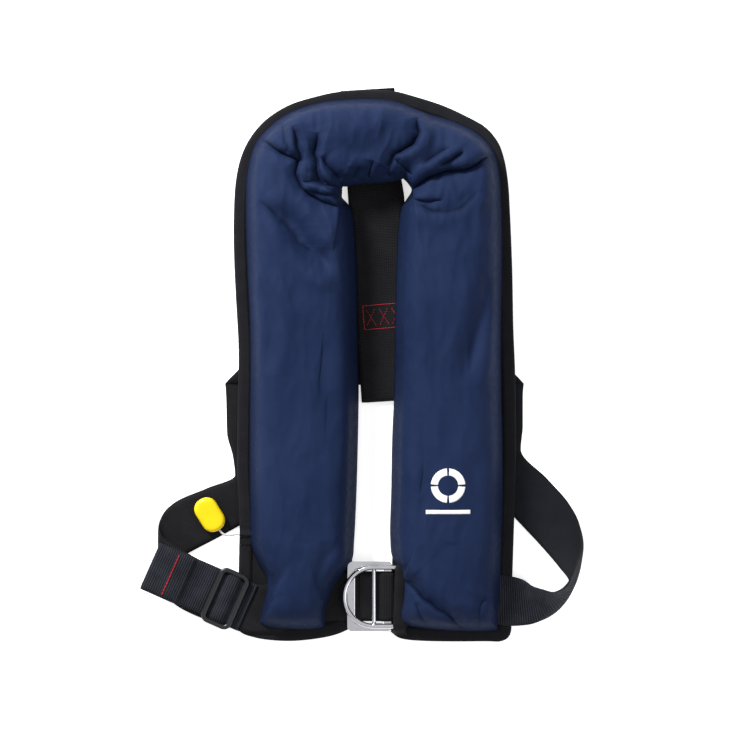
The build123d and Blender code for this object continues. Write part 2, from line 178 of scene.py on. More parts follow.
def apply_modifiers(obj):
    deps = bpy.context.evaluated_depsgraph_get()
    done = bpy.data.meshes.new_from_object(obj.evaluated_get(deps), depsgraph=deps)
    obj.modifiers.clear()
    old = obj.data
    obj.data = done
    bpy.data.meshes.remove(old)
    for poly in obj.data.polygons:
        poly.use_smooth = True
    return obj


def thicken(obj):
    """Gives a cloth sheet its 0.8 mm of thickness, below the sheet."""
    mod = obj.modifiers.new("thick", "SOLIDIFY")
    mod.thickness, mod.offset = 0.8 * MM, -1
    return apply_modifiers(obj)


def bvh(obj):
    faces = [list(p.vertices) for p in obj.data.polygons]
    return BVHTree.FromPolygons([v.co for v in obj.data.vertices], faces)


def subdivide(obj, levels):
    mod = obj.modifiers.new("sub", "SUBSURF")
    mod.levels = mod.render_levels = levels
    return apply_modifiers(obj)


def coords(obj):
    co = np.empty(len(obj.data.vertices) * 3)
    obj.data.vertices.foreach_get("co", co)
    return co.reshape(-1, 3)


def set_coords(obj, co):
    obj.data.vertices.foreach_set("co", co.ravel())
    obj.data.update()


WEB_WIDTH = 50.0
# Webbing thins at its edges by this share, within about this many millimetres
EDGE_THINNING, EDGE_ROUNDING = 0.55, 0.5


def webbing(name, edges, thick, step):
    """Webbing between two edge lines, given as stations of edge points in millimetres, as a closed solid."""
    across = 11
    paired = np.array([list(a) + list(b) for a, b in edges], float)
    line = smooth_line(paired, step, True)
    a, b = line[:, :3], line[:, 3:]
    mid = (a + b) / 2
    along = unit(np.gradient(mid, axis=0))
    side = unit(b - a)
    normal = unit(np.cross(side, along))
    run = run_along(mid)
    width = np.linalg.norm(b - a, axis=1)
    shares = [j / (across - 1) for j in range(across)]
    ring = [(share, 1) for share in shares] + [(share, -1) for share in shares[::-1]]
    verts, uvs = [], []
    for i in range(len(mid)):
        for share, face in ring:
            edge = min(share, 1 - share) * width[i]
            lift = thick / 2 * (1 - EDGE_THINNING * math.exp(-edge / EDGE_ROUNDING))
            verts.append((a[i] + (b[i] - a[i]) * share + normal[i] * lift * face) * MM)
            uvs.append((run[i] * MM, share * WEB_WIDTH * MM))
    count = len(ring)
    faces = grid_faces(len(mid), count, wrap_cols=True) + end_caps(len(mid), count)
    return mesh_object(name, verts, faces, uvs)


def tube(name, path, radius, sides, closed=False):
    """A round rod along a path in millimetres that is never upright."""
    p = np.array(path, float)
    n = len(p)
    if closed:
        along = unit(np.roll(p, -1, 0) - np.roll(p, 1, 0))
    else:
        along = unit(np.gradient(p, axis=0))
    up = np.tile([0.0, 0.0, 1.0], (n, 1))
    side = unit(np.cross(along, up))
    up = unit(np.cross(side, along))
    verts = []
    for i in range(n):
        for k in range(sides):
            turn = 2 * math.pi * k / sides
            verts.append((p[i] + side[i] * radius * math.cos(turn) + up[i] * radius * math.sin(turn)) * MM)
    faces = grid_faces(n, sides, wrap_cols=True)
    faces += closing_faces(sides, (n - 1) * sides) if closed else end_caps(n, sides)
    return mesh_object(name, verts, faces)


def join(name, parts):
    """Several mesh pieces as one, with all of it at one point of the UV map."""
    verts, faces = [], []
    for part in parts:
        start = len(verts)
        verts += [tuple(v.co) for v in part.data.vertices]
        faces += [[start + i for i in poly.vertices] for poly in part.data.polygons]
        discard(part)
    return mesh_object(name, verts, faces, [(0, 0)] * len(verts))


def stitches(name, lines, length, gap, radius, rise):
    """Thread along lines of points in millimetres: one small bowed capsule for each stitch."""
    verts, faces = [], []
    sides, rings = 6, 5
    up = np.array([0, 0, 1.0])
    for line in lines:
        p = np.array(line, float)
        run = run_along(p)
        spot = gap / 2
        while spot + length < run[-1]:
            start = len(verts)
            ends = [np.array([np.interp(s, run, p[:, k]) for k in range(3)]) for s in (spot, spot + length)]
            along = unit(ends[1] - ends[0])
            side = unit(np.cross(along, up))
            for i in range(rings):
                s = i / (rings - 1)
                fat = radius * (0.35 + 0.65 * math.sin(math.pi * (0.1 + 0.8 * s)))
                middle = ends[0] + (ends[1] - ends[0]) * s
                middle = middle + up * (rise * math.sin(math.pi * s))
                for k in range(sides):
                    turn = 2 * math.pi * k / sides
                    offset = side * math.cos(turn) + up * math.sin(turn)
                    verts.append((middle + offset * fat) * MM)
            faces += grid_faces(rings, sides, wrap_cols=True, start=start)
            faces += [[start + f for f in face] for face in end_caps(rings, sides)]
            spot += length + gap
    return mesh_object(name, verts, faces)


# ---------------------------------------------------------------- materials


def shader(name, colour, roughness, **sockets):
    """A new material with its node tree and shader. Sockets are named with _ for a space."""
    mat = bpy.data.materials.new(name)
    mat.use_nodes = True
    bsdf = mat.node_tree.nodes["Principled BSDF"]
    bsdf.inputs["Base Color"].default_value = (*colour, 1)
    bsdf.inputs["Roughness"].default_value = roughness
    for key, value in sockets.items():
        bsdf.inputs[key.replace("_", " ")].default_value = value
    return mat, mat.node_tree, bsdf


def node(tree, kind, **values):
    """A new node, with values for its inputs or its own settings."""
    made = tree.nodes.new(kind)
    for key, value in values.items():
        if key in made.inputs:
            made.inputs[key].default_value = value
        else:
            setattr(made, key, value)
    return made


def noise_of(tree, scale, detail, stretch=(1, 1, 1)):
    where = node(tree, "ShaderNodeTexCoord")
    scaled = node(tree, "ShaderNodeMapping", Scale=stretch)
    tree.links.new(where.outputs["Object"], scaled.inputs["Vector"])
    made = node(tree, "ShaderNodeTexNoise", Scale=scale, Detail=detail)
    tree.links.new(scaled.outputs[0], made.inputs["Vector"])
    return made.outputs["Fac"]


WAVES_PER_METRE = 3.1831  # of a wave texture at scale 1


def band(tree, axis, pitch, source, distort=0.0):
    """A wave from 0 to 1 along an axis, one for each pitch in metres."""
    where = node(tree, "ShaderNodeTexCoord")
    made = node(tree, "ShaderNodeTexWave", Scale=1 / pitch / WAVES_PER_METRE, Distortion=distort,
                bands_direction=axis, wave_profile="SIN")
    tree.links.new(where.outputs[source], made.inputs["Vector"])
    return made.outputs["Fac"]


def ramp(tree, value, low, high, start=0.0, end=1.0):
    """low to high as the value goes from start to end."""
    made = node(tree, "ShaderNodeMapRange")
    for socket, number in (("From Min", start), ("From Max", end), ("To Min", low), ("To Max", high)):
        made.inputs[socket].default_value = number
    tree.links.new(value, made.inputs["Value"])
    return made.outputs["Result"]


MIX_A, MIX_B, MIX_OUT = 6, 7, 2  # the colour sockets of a Mix node


def blend_colour(tree, value, low, high):
    """A colour from low to high. low is a colour or a node's output."""
    made = node(tree, "ShaderNodeMix", data_type="RGBA")
    if isinstance(low, tuple):
        made.inputs[MIX_A].default_value = (*low, 1)
    else:
        tree.links.new(low, made.inputs[MIX_A])
    made.inputs[MIX_B].default_value = (*high, 1)
    tree.links.new(value, made.inputs["Factor"])
    return made.outputs[MIX_OUT]


def math_node(tree, kind, a, b):
    """A sum or product, where a and b are numbers or a node's output."""
    made = node(tree, "ShaderNodeMath", operation=kind)
    for index, value in enumerate((a, b)):
        if isinstance(value, (int, float)):
            made.inputs[index].default_value = value
        else:
            tree.links.new(value, made.inputs[index])
    return made.outputs[0]


def bump(tree, bsdf, height, distance, strength):
    made = node(tree, "ShaderNodeBump", Strength=strength, Distance=distance)
    tree.links.new(height, made.inputs["Height"])
    tree.links.new(made.outputs[0], bsdf.inputs["Normal"])


NYLON_PITCH = 0.0009


def nylon(name, dark, light, roughness):
    """Coated nylon: a fine plain weave, cloudy tone and slight crumpling, and painted shade, darker where the cover's
    shade attribute is high.
    """
    mat, tree, bsdf = shader(name, light, roughness, Specular_IOR_Level=0.09)
    cloud = noise_of(tree, 14, 4)
    fine = noise_of(tree, 160, 3)
    mixed = math_node(tree, "ADD", math_node(tree, "MULTIPLY", cloud, 0.7), math_node(tree, "MULTIPLY", fine, 0.3))
    cloth_tone = blend_colour(tree, ramp(tree, mixed, 0, 1, 0.32, 0.68), dark, light)
    # painted shade: the cover's attribute darkens creases and the rim towards a near-black navy
    painted_shade_node = node(tree, "ShaderNodeAttribute", attribute_name="painted_shade")
    painted_shade_amount = ramp(tree, painted_shade_node.outputs["Fac"], 0.0, 0.8)
    painted_shade_tone = blend_colour(tree, painted_shade_amount, cloth_tone, tuple(c * 0.18 for c in dark))
    tree.links.new(painted_shade_tone, bsdf.inputs["Base Color"])
    tree.links.new(ramp(tree, fine, roughness - 0.08, roughness + 0.1, 0.3, 0.7), bsdf.inputs["Roughness"])
    warp = band(tree, "X", NYLON_PITCH, "Object")
    weft = band(tree, "Y", NYLON_PITCH, "Object")
    cloth = math_node(tree, "MULTIPLY", math_node(tree, "ADD", warp, weft), 0.06)
    crumple = math_node(tree, "MULTIPLY", noise_of(tree, 28, 3, stretch=(1, 0.45, 1)), 0.8)
    bump(tree, bsdf, math_node(tree, "ADD", cloth, crumple), 0.0012, 0.5)
    return mat


def web_material(name, dark, light, pitch=0.0016, roughness=0.75, depth=0.00035, plain=None):
    """Woven webbing: ribs across its width and lines along it, and few ribs before a plain length in metres."""
    mat, tree, bsdf = shader(name, light, roughness, Sheen_Weight=0.02, Sheen_Roughness=0.5, Specular_IOR_Level=0.14)
    ribs = band(tree, "X", pitch, "UV", 0.6)
    lines = band(tree, "Y", 0.0021, "UV", 0.4)
    wear = noise_of(tree, 60, 4)
    tone = math_node(tree, "ADD", math_node(tree, "MULTIPLY", ribs, 0.45), math_node(tree, "MULTIPLY", wear, 0.6))
    shade = ramp(tree, tone, 0, 1, 0.25, 0.85)
    if plain:
        where = node(tree, "ShaderNodeTexCoord")
        parts = node(tree, "ShaderNodeSeparateXYZ")
        tree.links.new(where.outputs["UV"], parts.inputs[0])
        ribbed = ramp(tree, parts.outputs["X"], 0.18, 1, plain, plain + 0.02)
        shade = math_node(tree, "MULTIPLY", shade, ribbed)
        ribs = math_node(tree, "MULTIPLY", ribs, ribbed)
    tree.links.new(blend_colour(tree, shade, dark, light), bsdf.inputs["Base Color"])
    weave = math_node(tree, "ADD", ribs, math_node(tree, "MULTIPLY", lines, 0.5))
    bump(tree, bsdf, weave, depth, 0.8)
    return mat


def steel(name, colour, roughness):
    """Bright metal with fine brush marks along X and dull patches."""
    mat, tree, bsdf = shader(name, colour, roughness, Metallic=1.0)
    brushed = noise_of(tree, 90, 4, stretch=(1, 14, 14))
    tree.links.new(ramp(tree, brushed, roughness - 0.07, roughness + 0.12, 0.3, 0.7), bsdf.inputs["Roughness"])
    dull = noise_of(tree, 35, 5)
    dim = tuple(c * 0.86 for c in colour)
    tree.links.new(blend_colour(tree, ramp(tree, dull, 0, 1, 0.35, 0.65), dim, colour), bsdf.inputs["Base Color"])
    bump(tree, bsdf, brushed, 0.00006, 0.5)
    return mat


def plastic(name, colour, roughness, grain=420, depth=0.00008, **sockets):
    """Moulded plastic or rubber with a fine grain."""
    mat, tree, bsdf = shader(name, colour, roughness, **sockets)
    mottle = noise_of(tree, grain, 3)
    cloud = noise_of(tree, 40, 4)
    dim = tuple(c * 0.88 for c in colour)
    tree.links.new(blend_colour(tree, ramp(tree, cloud, 0, 1, 0.35, 0.65), dim, colour), bsdf.inputs["Base Color"])
    tree.links.new(ramp(tree, cloud, roughness - 0.06, roughness + 0.08, 0.3, 0.7), bsdf.inputs["Roughness"])
    bump(tree, bsdf, mottle, depth, 0.6)
    return mat


NAVY = nylon("navy_nylon", (0.0056, 0.0128, 0.043), (0.0105, 0.0202, 0.060), 0.72)
LINING = nylon("black_lining", (0.006, 0.006, 0.0075), (0.010, 0.010, 0.012), 0.7)
BLADDER = nylon("bladder_coating", (0.62, 0.30, 0.02), (0.80, 0.42, 0.04), 0.5)
BINDING = web_material("binding_tape", (0.005, 0.005, 0.007), (0.011, 0.011, 0.014), 0.0011, 0.8, 0.0002)
WEBBING = web_material("black_webbing", (0.004, 0.004, 0.005), (0.011, 0.011, 0.013))
TAIL_WEB = web_material("grey_black_webbing", (0.0035, 0.004, 0.006), (0.026, 0.029, 0.040), 0.0023, 0.75, 0.0006)
LOOP_WEB = web_material(
    "loop_webbing", (0.0035, 0.004, 0.006), (0.030, 0.033, 0.046), 0.0023, 0.75, 0.0006, plain=0.318
)
STEEL = steel("stainless_steel", (0.70, 0.70, 0.74), 0.16)
GAS_STEEL = steel("plated_steel", (0.55, 0.56, 0.57), 0.34)
BRASS = steel("brass", (0.72, 0.52, 0.2), 0.3)
BLACK_PLASTIC = plastic("black_plastic", (0.010, 0.012, 0.014), 0.3, Specular_IOR_Level=0.4)
HEAD_PLASTIC = plastic("head_plastic", (0.03, 0.03, 0.033), 0.5)
LEVER_PLASTIC = plastic("lever_plastic", (0.72, 0.55, 0.03), 0.4)
YELLOW = plastic("yellow_handle", (0.84, 0.60, 0.003), 0.38, 300, 0.00005, Specular_IOR_Level=0.25)
GREEN = plastic("green_clip", (0.03, 0.42, 0.1), 0.4)
ORANGE = plastic("whistle_orange", (0.85, 0.26, 0.02), 0.35)
RUBBER = plastic("tube_rubber", (0.03, 0.03, 0.032), 0.65)
CORD = web_material("white_cord", (0.6, 0.6, 0.58), (0.85, 0.85, 0.83), 0.0012, 0.8, 0.0002)
RED_THREAD = web_material("red_thread", (0.42, 0.02, 0.03), (0.62, 0.04, 0.05), 0.0008, 0.7, 0.0001)
BLACK_THREAD = web_material("black_thread", (0.006, 0.006, 0.008), (0.016, 0.016, 0.019), 0.0008, 0.7, 0.0001)
PRINT = nylon("white_print", (0.72, 0.72, 0.73), (0.86, 0.86, 0.87), 0.5)


def dress(obj, mat):
    obj.data.materials.clear()
    obj.data.materials.append(mat)


def settle(obj, mat, body, cad_node=None):
    """Gives a piece its material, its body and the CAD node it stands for."""
    dress(obj, mat)
    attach(obj, body)
    if cad_node:
        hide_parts(cad_node)
    return obj


# The CAD nodes in each material
CAD_LOOKS = (
    (BLADDER, "bladder"),
    (GAS_STEEL, "gas_cylinder"),
    (RUBBER, "cylinder_seal oral_tube oral_elbow"),
    (HEAD_PLASTIC, "inflator_head oral_valve dust_cap"),
    (LEVER_PLASTIC, "firing_lever valve_plunger"),
    (STEEL, "lever_pivot firing_pin pin_spring buckle_frame d_ring"),
    (BRASS, "manifold_stud manifold_nut"),
    (GREEN, "status_clip"),
    (ORANGE, "whistle"),
    (WEBBING, "belt_carrier_left belt_carrier_right back_strap waist_belt"),
    (CORD, "pull_cord_inner pull_cord"),
    (BLACK_PLASTIC, "belt_adjuster"),
    (LINING, "back_panel"),
    (BINDING, "edge_binding"),
    (TAIL_WEB, "belt_tail"),
    (NAVY, "cover_left_lobe cover_right_lobe cover_collar"),
    (YELLOW, "pull_handle"),
    (PRINT, "printed_ring printed_bar"),
)
for look, cad_names in CAD_LOOKS:
    for cad_name in cad_names.split():
        dress(NODES[cad_name], look)

# ---------------------------------------------------------------- cover

# Stations of the navy cover from the foot of the left lobe round the collar to the foot of the right one:
# x and y on its outer edge, then on its inner edge
COVER_EDGE = [
    (-106, -260, -42, -263), (-103.5, -246, -40, -244), (-99.5, -230, -34, -226), (-99, -216, -24, -211),
    (-108, -199, -14.5, -196), (-114.5, -181, -12.5, -176), (-116, -136, -10.5, -136), (-116.5, -86, -9, -86),
    (-116, -26, -8, -21), (-116, 34, -9, 42), (-118.5, 89, -10, 102), (-120, 129, -12.5, 139),
    (-120.5, 159, -14.5, 154), (-119, 190, -18.8, 160.5), (-111, 220, -24.6, 167), (-94, 240, -24.6, 173),
    (-74, 253, -24.2, 181), (-46, 262, -18, 181.5), (-20, 265, -6, 184), (7, 266, 9, 183.5), (32, 263, 22, 184),
    (59, 252, 33.5, 187.5), (89, 243, 38.6, 189), (114, 230, 43, 183), (128, 214, 46.6, 174.5),
    (134, 189, 41, 164.5), (136, 154, 35.8, 156), (136.5, 114, 32.5, 126), (136, 64, 30.5, 74),
    (135.5, 14, 29.5, 24), (136, -36, 29, -27), (137, -86, 27, -76), (137, -136, 26, -129), (136, -181, 25, -174),
    (135, -208, 28, -196), (134, -228, 42, -214), (133, -246, 42, -236), (132, -266, 35, -260),
]
LEFT_SEAM, RIGHT_SEAM = 14, 24  # stations of COVER_EDGE
RIM_Z = 9.0
CORD_Y = -170.745
# Columns of the cover, and about how far apart its rows are
COVER_COLUMNS, COVER_STEP = 34, 4.2
# Height of the cover over its rim at its stations
CREST = {0: 36, 5: 42, 12: 43.5, 14: 42, 19: 43, 24: 42, 27: 44.5, 33: 45, -1: 40}
# How far in from each edge the cover reaches that height, and how square its section is
OUTER_ROUND, INNER_ROUND, END_ROUND, SQUARENESS = 36, 28, 30, 2.8
# How far from an end its row bulges outwards
BULGE_REACH = 45


def soft_step(d, reach):
    """0 at an edge, 1 from reach inwards, and rising steeply like a stuffed edge."""
    x = np.clip(1 - d / reach, 0, 1)
    return (1 - x**SQUARENESS) ** (1 / SQUARENESS)


def line_distance(x, y, line):
    """Distance from points to a polyline, the signed side, and how far along it the nearest point is."""
    best = np.full(x.shape, 1e9)
    share = np.zeros(x.shape)
    side = np.zeros(x.shape)
    line = np.array(line, float)
    run = run_along(line)
    for i in range(len(line) - 1):
        a, d = line[i], line[i + 1] - line[i]
        t = np.clip(((x - a[0]) * d[0] + (y - a[1]) * d[1]) / (d @ d), 0, 1)
        dx, dy = x - a[0] - t * d[0], y - a[1] - t * d[1]
        dist = np.hypot(dx, dy)
        near = dist < best
        best = np.where(near, dist, best)
        share = np.where(near, (run[i] + t * (run[i + 1] - run[i])) / run[-1], share)
        side = np.where(near, np.sign(d[0] * dy - d[1] * dx), side)
    return best, side, share


# Sharp creases: line, depth, width, and how much one side overhangs the other (millimetres)
CREASES = [
    ([(-113, 224), (-104, 224), (-88, 212), (-68, 201), (-69, 187), (-57, 169), (-40, 160), (-22, 156)], 8, 4.5, 3.0),
    ([(-48, 228), (-49, 207), (-47, 185), (-40, 176)], 7, 4.0, 3.0),
    ([(-44, 204), (-35, 194), (-25, 184)], 6, 3.5, -2.5),
    ([(-63, 181), (-43, 178), (-27, 176)], 6, 3.5, -2.5),
    ([(-73, 236), (-68, 216), (-67, 196)], 5, 5.0, -2.0),
    ([(-84, 240), (-80, 222), (-74, 206)], 3, 4.5, 2.0),
    ([(-60, 172), (-44, 168), (-26, 166)], 3.5, 3.0, 2.0),
    ([(50, 244), (52, 230), (50, 220), (38, 212), (26, 201), (23, 186)], 9, 4.5, 3.5),
    ([(28, 202), (38, 194), (46, 186)], 5, 3.5, -2.5),
    ([(6, 201), (3, 184)], 4, 3.0, 1.5),
    ([(-8, 196), (-12, 184)], 3, 3.0, -1.5),
    ([(131, 213), (118, 205), (103, 196), (75, 190), (56, 183), (46, 170)], 8, 4.5, -3.0),
    ([(97, 211), (84, 202), (72, 195)], 5, 3.5, -2.0),
    ([(84, 214), (66, 204), (56, 196)], 3.5, 3.5, 2.0),
    ([(48, 158), (70, 151), (93, 154), (114, 172)], 3.5, 5.0, -1.5),
    ([(46, 164), (60, 160), (76, 163)], 3, 3.5, 1.5),
    ([(36, -212), (48, -224), (62, -236), (84, -253), (104, -270)], 4, 5, -1.5),
    ([(-105, 163), (-92, 148), (-78, 137), (-62, 116), (-46, 104)], 3, 6, 1.5),
    ([(118, -228), (112, -248), (114, -266)], 2.5, 4, 1.0),
    ([(60, -258), (52, -246), (50, -236)], 2.5, 4, 1.0),
]
# Broad soft folds: line, depth and width
FOLDS = [
    ([(-101, 159), (-78, 138), (-57, 110), (-44, 100), (-23, 104)], 9, 10),
    ([(-112, 84), (-102, 62), (-98, 30), (-102, -10)], 5.5, 7),
    ([(130, 100), (118, 41), (106, -6), (104, -19)], 7, 9),
    ([(38, -214), (58, -231), (84, -253), (101, -266)], 4, 9),
    ([(-30, -170), (-40, -205), (-52, -240)], 4, 9),
    ([(-106, -170), (-92, -205), (-94, -245)], 3.5, 9),
    ([(-20, -80), (-36, -20), (-30, 40)], 2.2, 12),
    ([(45, -60), (60, -110), (50, -160)], 2.0, 12),
    ([(-96, -60), (-84, -110), (-90, -150)], 2.2, 12),
    ([(120, -70), (110, -130), (118, -190)], 2.2, 12),
    ([(-20, 240), (10, 246), (30, 240)], -3.0, 14),
    ([(-30, 228), (-12, 214), (8, 210)], 2.5, 9),
]


def crease_path(line):
    """The line of a crease, smoothed and a little unsteady."""
    path = smooth_line(line, 4)
    return path + np.array([[noise.noise(Vector((a, b, k)) * 0.09) * 2.5 for k in (0, 70)] for a, b in path])


def near_creases(x, y, creases, spread, margin=0):
    """For each crease: the points near it, how they lie along it, and the crease's own numbers."""
    for line, depth, width, overhang in creases:
        path = crease_path(line)
        reach = spread * width + margin
        low, high = path.min(0) - reach, path.max(0) + reach
        near = np.flatnonzero((x > low[0]) & (x < high[0]) & (y > low[1]) & (y < high[1]))
        yield near, line_distance(x[near], y[near], path), depth, width, overhang


def ends_fade(share, rate, power):
    """0 at both ends of a line and 1 over its middle."""
    return (np.clip(share * rate, 0, 1) * np.clip((1 - share) * rate, 0, 1)) ** power


def crease_shape(x, y, creases):
    """Sharp folds: the side that overhang favours rolls over and drops steeply, the other rises away slowly."""
    z = np.zeros(len(x))
    for near, (dist, side, share), depth, width, overhang in near_creases(x, y, creases, 8, 4):
        over = side * math.copysign(1, overhang)
        steep = np.where(over > 0, width * 0.34, width * 1.15)
        valley = np.exp(-((dist / steep) ** 1.1)) + np.where(over > 0, 0, 0.35 * np.exp(-dist / (4.5 * width)))
        valley /= np.where(over > 0, 1, 1.35)
        roll = np.where(over > 0, np.exp(-(((dist - width * 1.7) / (width * 1.5)) ** 2)), 0)
        z[near] += ends_fade(share, 6, 0.7) * (-depth * valley + 0.62 * abs(overhang) * roll)
    return z


def crease_shade_mask(x, y, creases):
    """Painted shade: 1 in the pinch of each crease, where shade falls, and 0 away from it."""
    mask = np.zeros(len(x))
    for near, (dist, _, share), depth, width, _ in near_creases(x, y, creases, 4):
        painted_shade_value = ends_fade(share, 5, 0.6) * np.exp(-((dist / (0.42 * width)) ** 1.3)) * min(1, depth / 5)
        mask[near] = np.maximum(mask[near], painted_shade_value)
    return mask


def fold_shape(x, y, folds):
    """Soft valleys, each with a low swell on both sides."""
    z = np.zeros(len(x))
    for line, depth, width in folds:
        dist, _, share = line_distance(x, y, smooth_line(line, 8))
        fade = np.clip(np.minimum(share, 1 - share) * 4, 0, 1)
        z -= fade * depth * (np.exp(-((dist / width) ** 2)) - 0.35 * np.exp(-(((dist - 2 * width) / width) ** 2)))
    return z


def cover_grid(edge, columns, step):
    """Rows of points from the outer to the inner edge, the length along them, and each station's row."""
    stations = np.array(edge, float)
    line = smooth_line(stations, step)
    mid = (line[:, :2] + line[:, 2:]) / 2
    smid = (stations[:, :2] + stations[:, 2:]) / 2
    run = run_along(mid)
    at = [int(np.argmin(np.hypot(*(mid - s).T))) for s in smid]
    share = (1 - np.cos(np.pi * np.linspace(0, 1, columns))) / 2
    share = 0.75 * share + 0.25 * np.linspace(0, 1, columns)
    outer, inner = line[:, None, :2], line[:, None, 2:]
    return outer + (inner - outer) * share[None, :, None], run, at


def cover_surface():
    """The stuffed shape before its folds: its points, its heights, and each station's row."""
    points, run, at = cover_grid(COVER_EDGE, COVER_COLUMNS, COVER_STEP)
    # the ends bulge past their straight row
    cross = np.sin(np.linspace(0, math.pi, COVER_COLUMNS)) ** 0.8
    for d, push in ((run, -5.0), (run[-1] - run, -4.5)):
        fade = np.clip(1 - d / BULGE_REACH, 0, 1) ** 2
        points[:, :, 1] += push * fade[:, None] * cross[None, :]
    outer_d = np.hypot(*(points - points[:, :1]).transpose(2, 0, 1))
    inner_d = np.hypot(*(points - points[:, -1:]).transpose(2, 0, 1))
    end_d = np.minimum(run, run[-1] - run)[:, None]
    high = np.interp(run, run[[at[station] for station in CREST]], list(CREST.values()))[:, None]
    z = high * soft_step(outer_d, OUTER_ROUND) * soft_step(inner_d, INNER_ROUND) * soft_step(end_d, END_ROUND)
    return points, RIM_Z + z, at


points, height, at = cover_surface()
rows, columns = height.shape
flat_x, flat_y = points[:, :, 0].ravel(), points[:, :, 1].ravel()
inside = ((height - RIM_Z) / (height.max() - RIM_Z)).ravel().clip(0, 1)
# part of the depth of the creases comes before the cloth simulation, and the rest after it
base_z = height.ravel() + fold_shape(flat_x, flat_y, FOLDS) * inside
base_z = np.maximum(base_z + 0.45 * crease_shape(flat_x, flat_y, CREASES) * inside, RIM_Z)
cover = mesh_object("cover_skin", np.stack([flat_x, flat_y, base_z], 1) * MM, grid_faces(rows, columns, flip=True))
row_number = cover.data.attributes.new("row", "FLOAT", "POINT")
row_number.data.foreach_set("value", np.repeat(np.arange(rows, dtype=np.float32), columns))


def puff(obj, pins, pressure, frames, shrink, stiff=12.0, bend=0.6, cap=6.0):
    """Runs a short cloth simulation, keeps each point within cap millimetres of where it was, and applies it."""
    before = coords(obj)
    obj.vertex_groups.new(name="pin").add(np.flatnonzero(pins).tolist(), 1.0, "REPLACE")
    mod = obj.modifiers.new("cloth", "CLOTH")
    s = mod.settings
    s.vertex_group_mass = "pin"
    s.quality = 6
    s.mass = 0.2
    s.tension_stiffness = s.compression_stiffness = stiff
    s.shear_stiffness = stiff * 0.5
    s.bending_stiffness = bend
    s.use_pressure = True
    s.uniform_pressure_force = pressure
    s.shrink_min = shrink
    s.effector_weights.gravity = 0.15
    mod.point_cache.frame_start, mod.point_cache.frame_end = 1, frames
    scene = bpy.context.scene
    for f in range(1, frames + 1):
        scene.frame_set(f)
    after = coords(obj.evaluated_get(bpy.context.evaluated_depsgraph_get()))
    obj.modifiers.remove(mod)
    obj.vertex_groups.clear()
    scene.frame_set(1)
    shift = after - before
    shift[:, 2] = np.maximum(shift[:, 2], -0.5 * MM)
    far = np.linalg.norm(shift, axis=1, keepdims=True)
    limit = cap * MM
    shift *= np.minimum(1, limit * np.tanh(far / limit) / np.maximum(far, 1e-9))
    set_coords(obj, before + shift)


def lie_over(obj, names, free, margin, most=9.0):
    """Lifts the free points of a skin that would touch the parts under it, by up to most millimetres."""
    co = coords(obj)
    trees = [bvh(NODES[n]) for n in names]
    low = np.min([np.array(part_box(n)[0]) for n in names], 0) - 0.012
    high = np.max([np.array(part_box(n)[1]) for n in names], 0) + 0.012
    around = [(0, 0), (4, 0), (-4, 0), (0, 4), (0, -4), (3, 3), (-3, 3), (3, -3), (-3, -3)]
    for i, p in enumerate(co):
        if not free[i] or p[0] < low[0] or p[0] > high[0] or p[1] < low[1] or p[1] > high[1]:
            continue
        top = 0.0
        for dx, dy in around:
            for tree in trees:
                hit = tree.ray_cast(Vector((p[0] + dx * MM, p[1] + dy * MM, ABOVE)), DOWN)[0]
                if hit is not None:
                    top = max(top, hit.z)
        need = top + margin * MM - p[2]
        if top > 0 and need > 0:
            co[i, 2] += min(need, most * MM)
    set_coords(obj, co)


edge_rows = np.ones((rows, columns))
edge_rows[1:-1, 1:-1] = 0
puff(cover, edge_rows.ravel(), 3.0, 22, -0.03)
# points that may be lifted: not the rim
inner_rows = np.zeros((rows, columns), bool)
inner_rows[3:-3, 4:-4] = True
HARD_INSIDE = ["oral_tube", "oral_elbow", "oral_valve", "dust_cap", "whistle", "gas_cylinder", "inflator_head",
               "firing_lever", "status_clip", "manifold_stud", "manifold_nut"]
lie_over(cover, HARD_INSIDE, inner_rows.ravel(), 3.6)
cover = subdivide(cover, 2)
co = coords(cover) / MM
# 0 at the rim, 1 from 34 mm above it
level = ((co[:, 2] - RIM_Z) / 34).clip(0, 1)
co[:, 2] += 1.1 * crease_shape(co[:, 0], co[:, 1], CREASES) * np.minimum(level * 1.6, 1)


def slack(p):
    """Loose nylon: long soft facets with crisp ridges between them, stronger towards the collar."""
    q = Vector((p[0] * 0.030, p[1] * 0.013, 0.7))
    ridge = 1 - 2.2 * abs(noise.noise(q)) + 0.45 * (1 - 2.2 * abs(noise.noise(q * 2.7)))
    fine = noise.noise(Vector((p[0] * 0.11, p[1] * 0.06, 2)))
    return 1.5 * ridge + 0.35 * fine - 1.6


near_collar = np.clip((co[:, 1] - 60) / 120, 0, 1)
co[:, 2] += np.array([slack(p) for p in co]) * (0.8 + 0.7 * near_collar) * level
co[:, 2] = np.maximum(co[:, 2], RIM_Z - 0.2)
# the rim arches over the pull cord's way out
way_out = (co[:, 0] < -105) & (np.abs(co[:, 1] - CORD_Y) < 10)
co[way_out, 2] = np.maximum(co[way_out, 2], RIM_Z + 4.6 * np.exp(-(((co[way_out, 1] - CORD_Y) / 3.4) ** 2)))
set_coords(cover, co * MM)


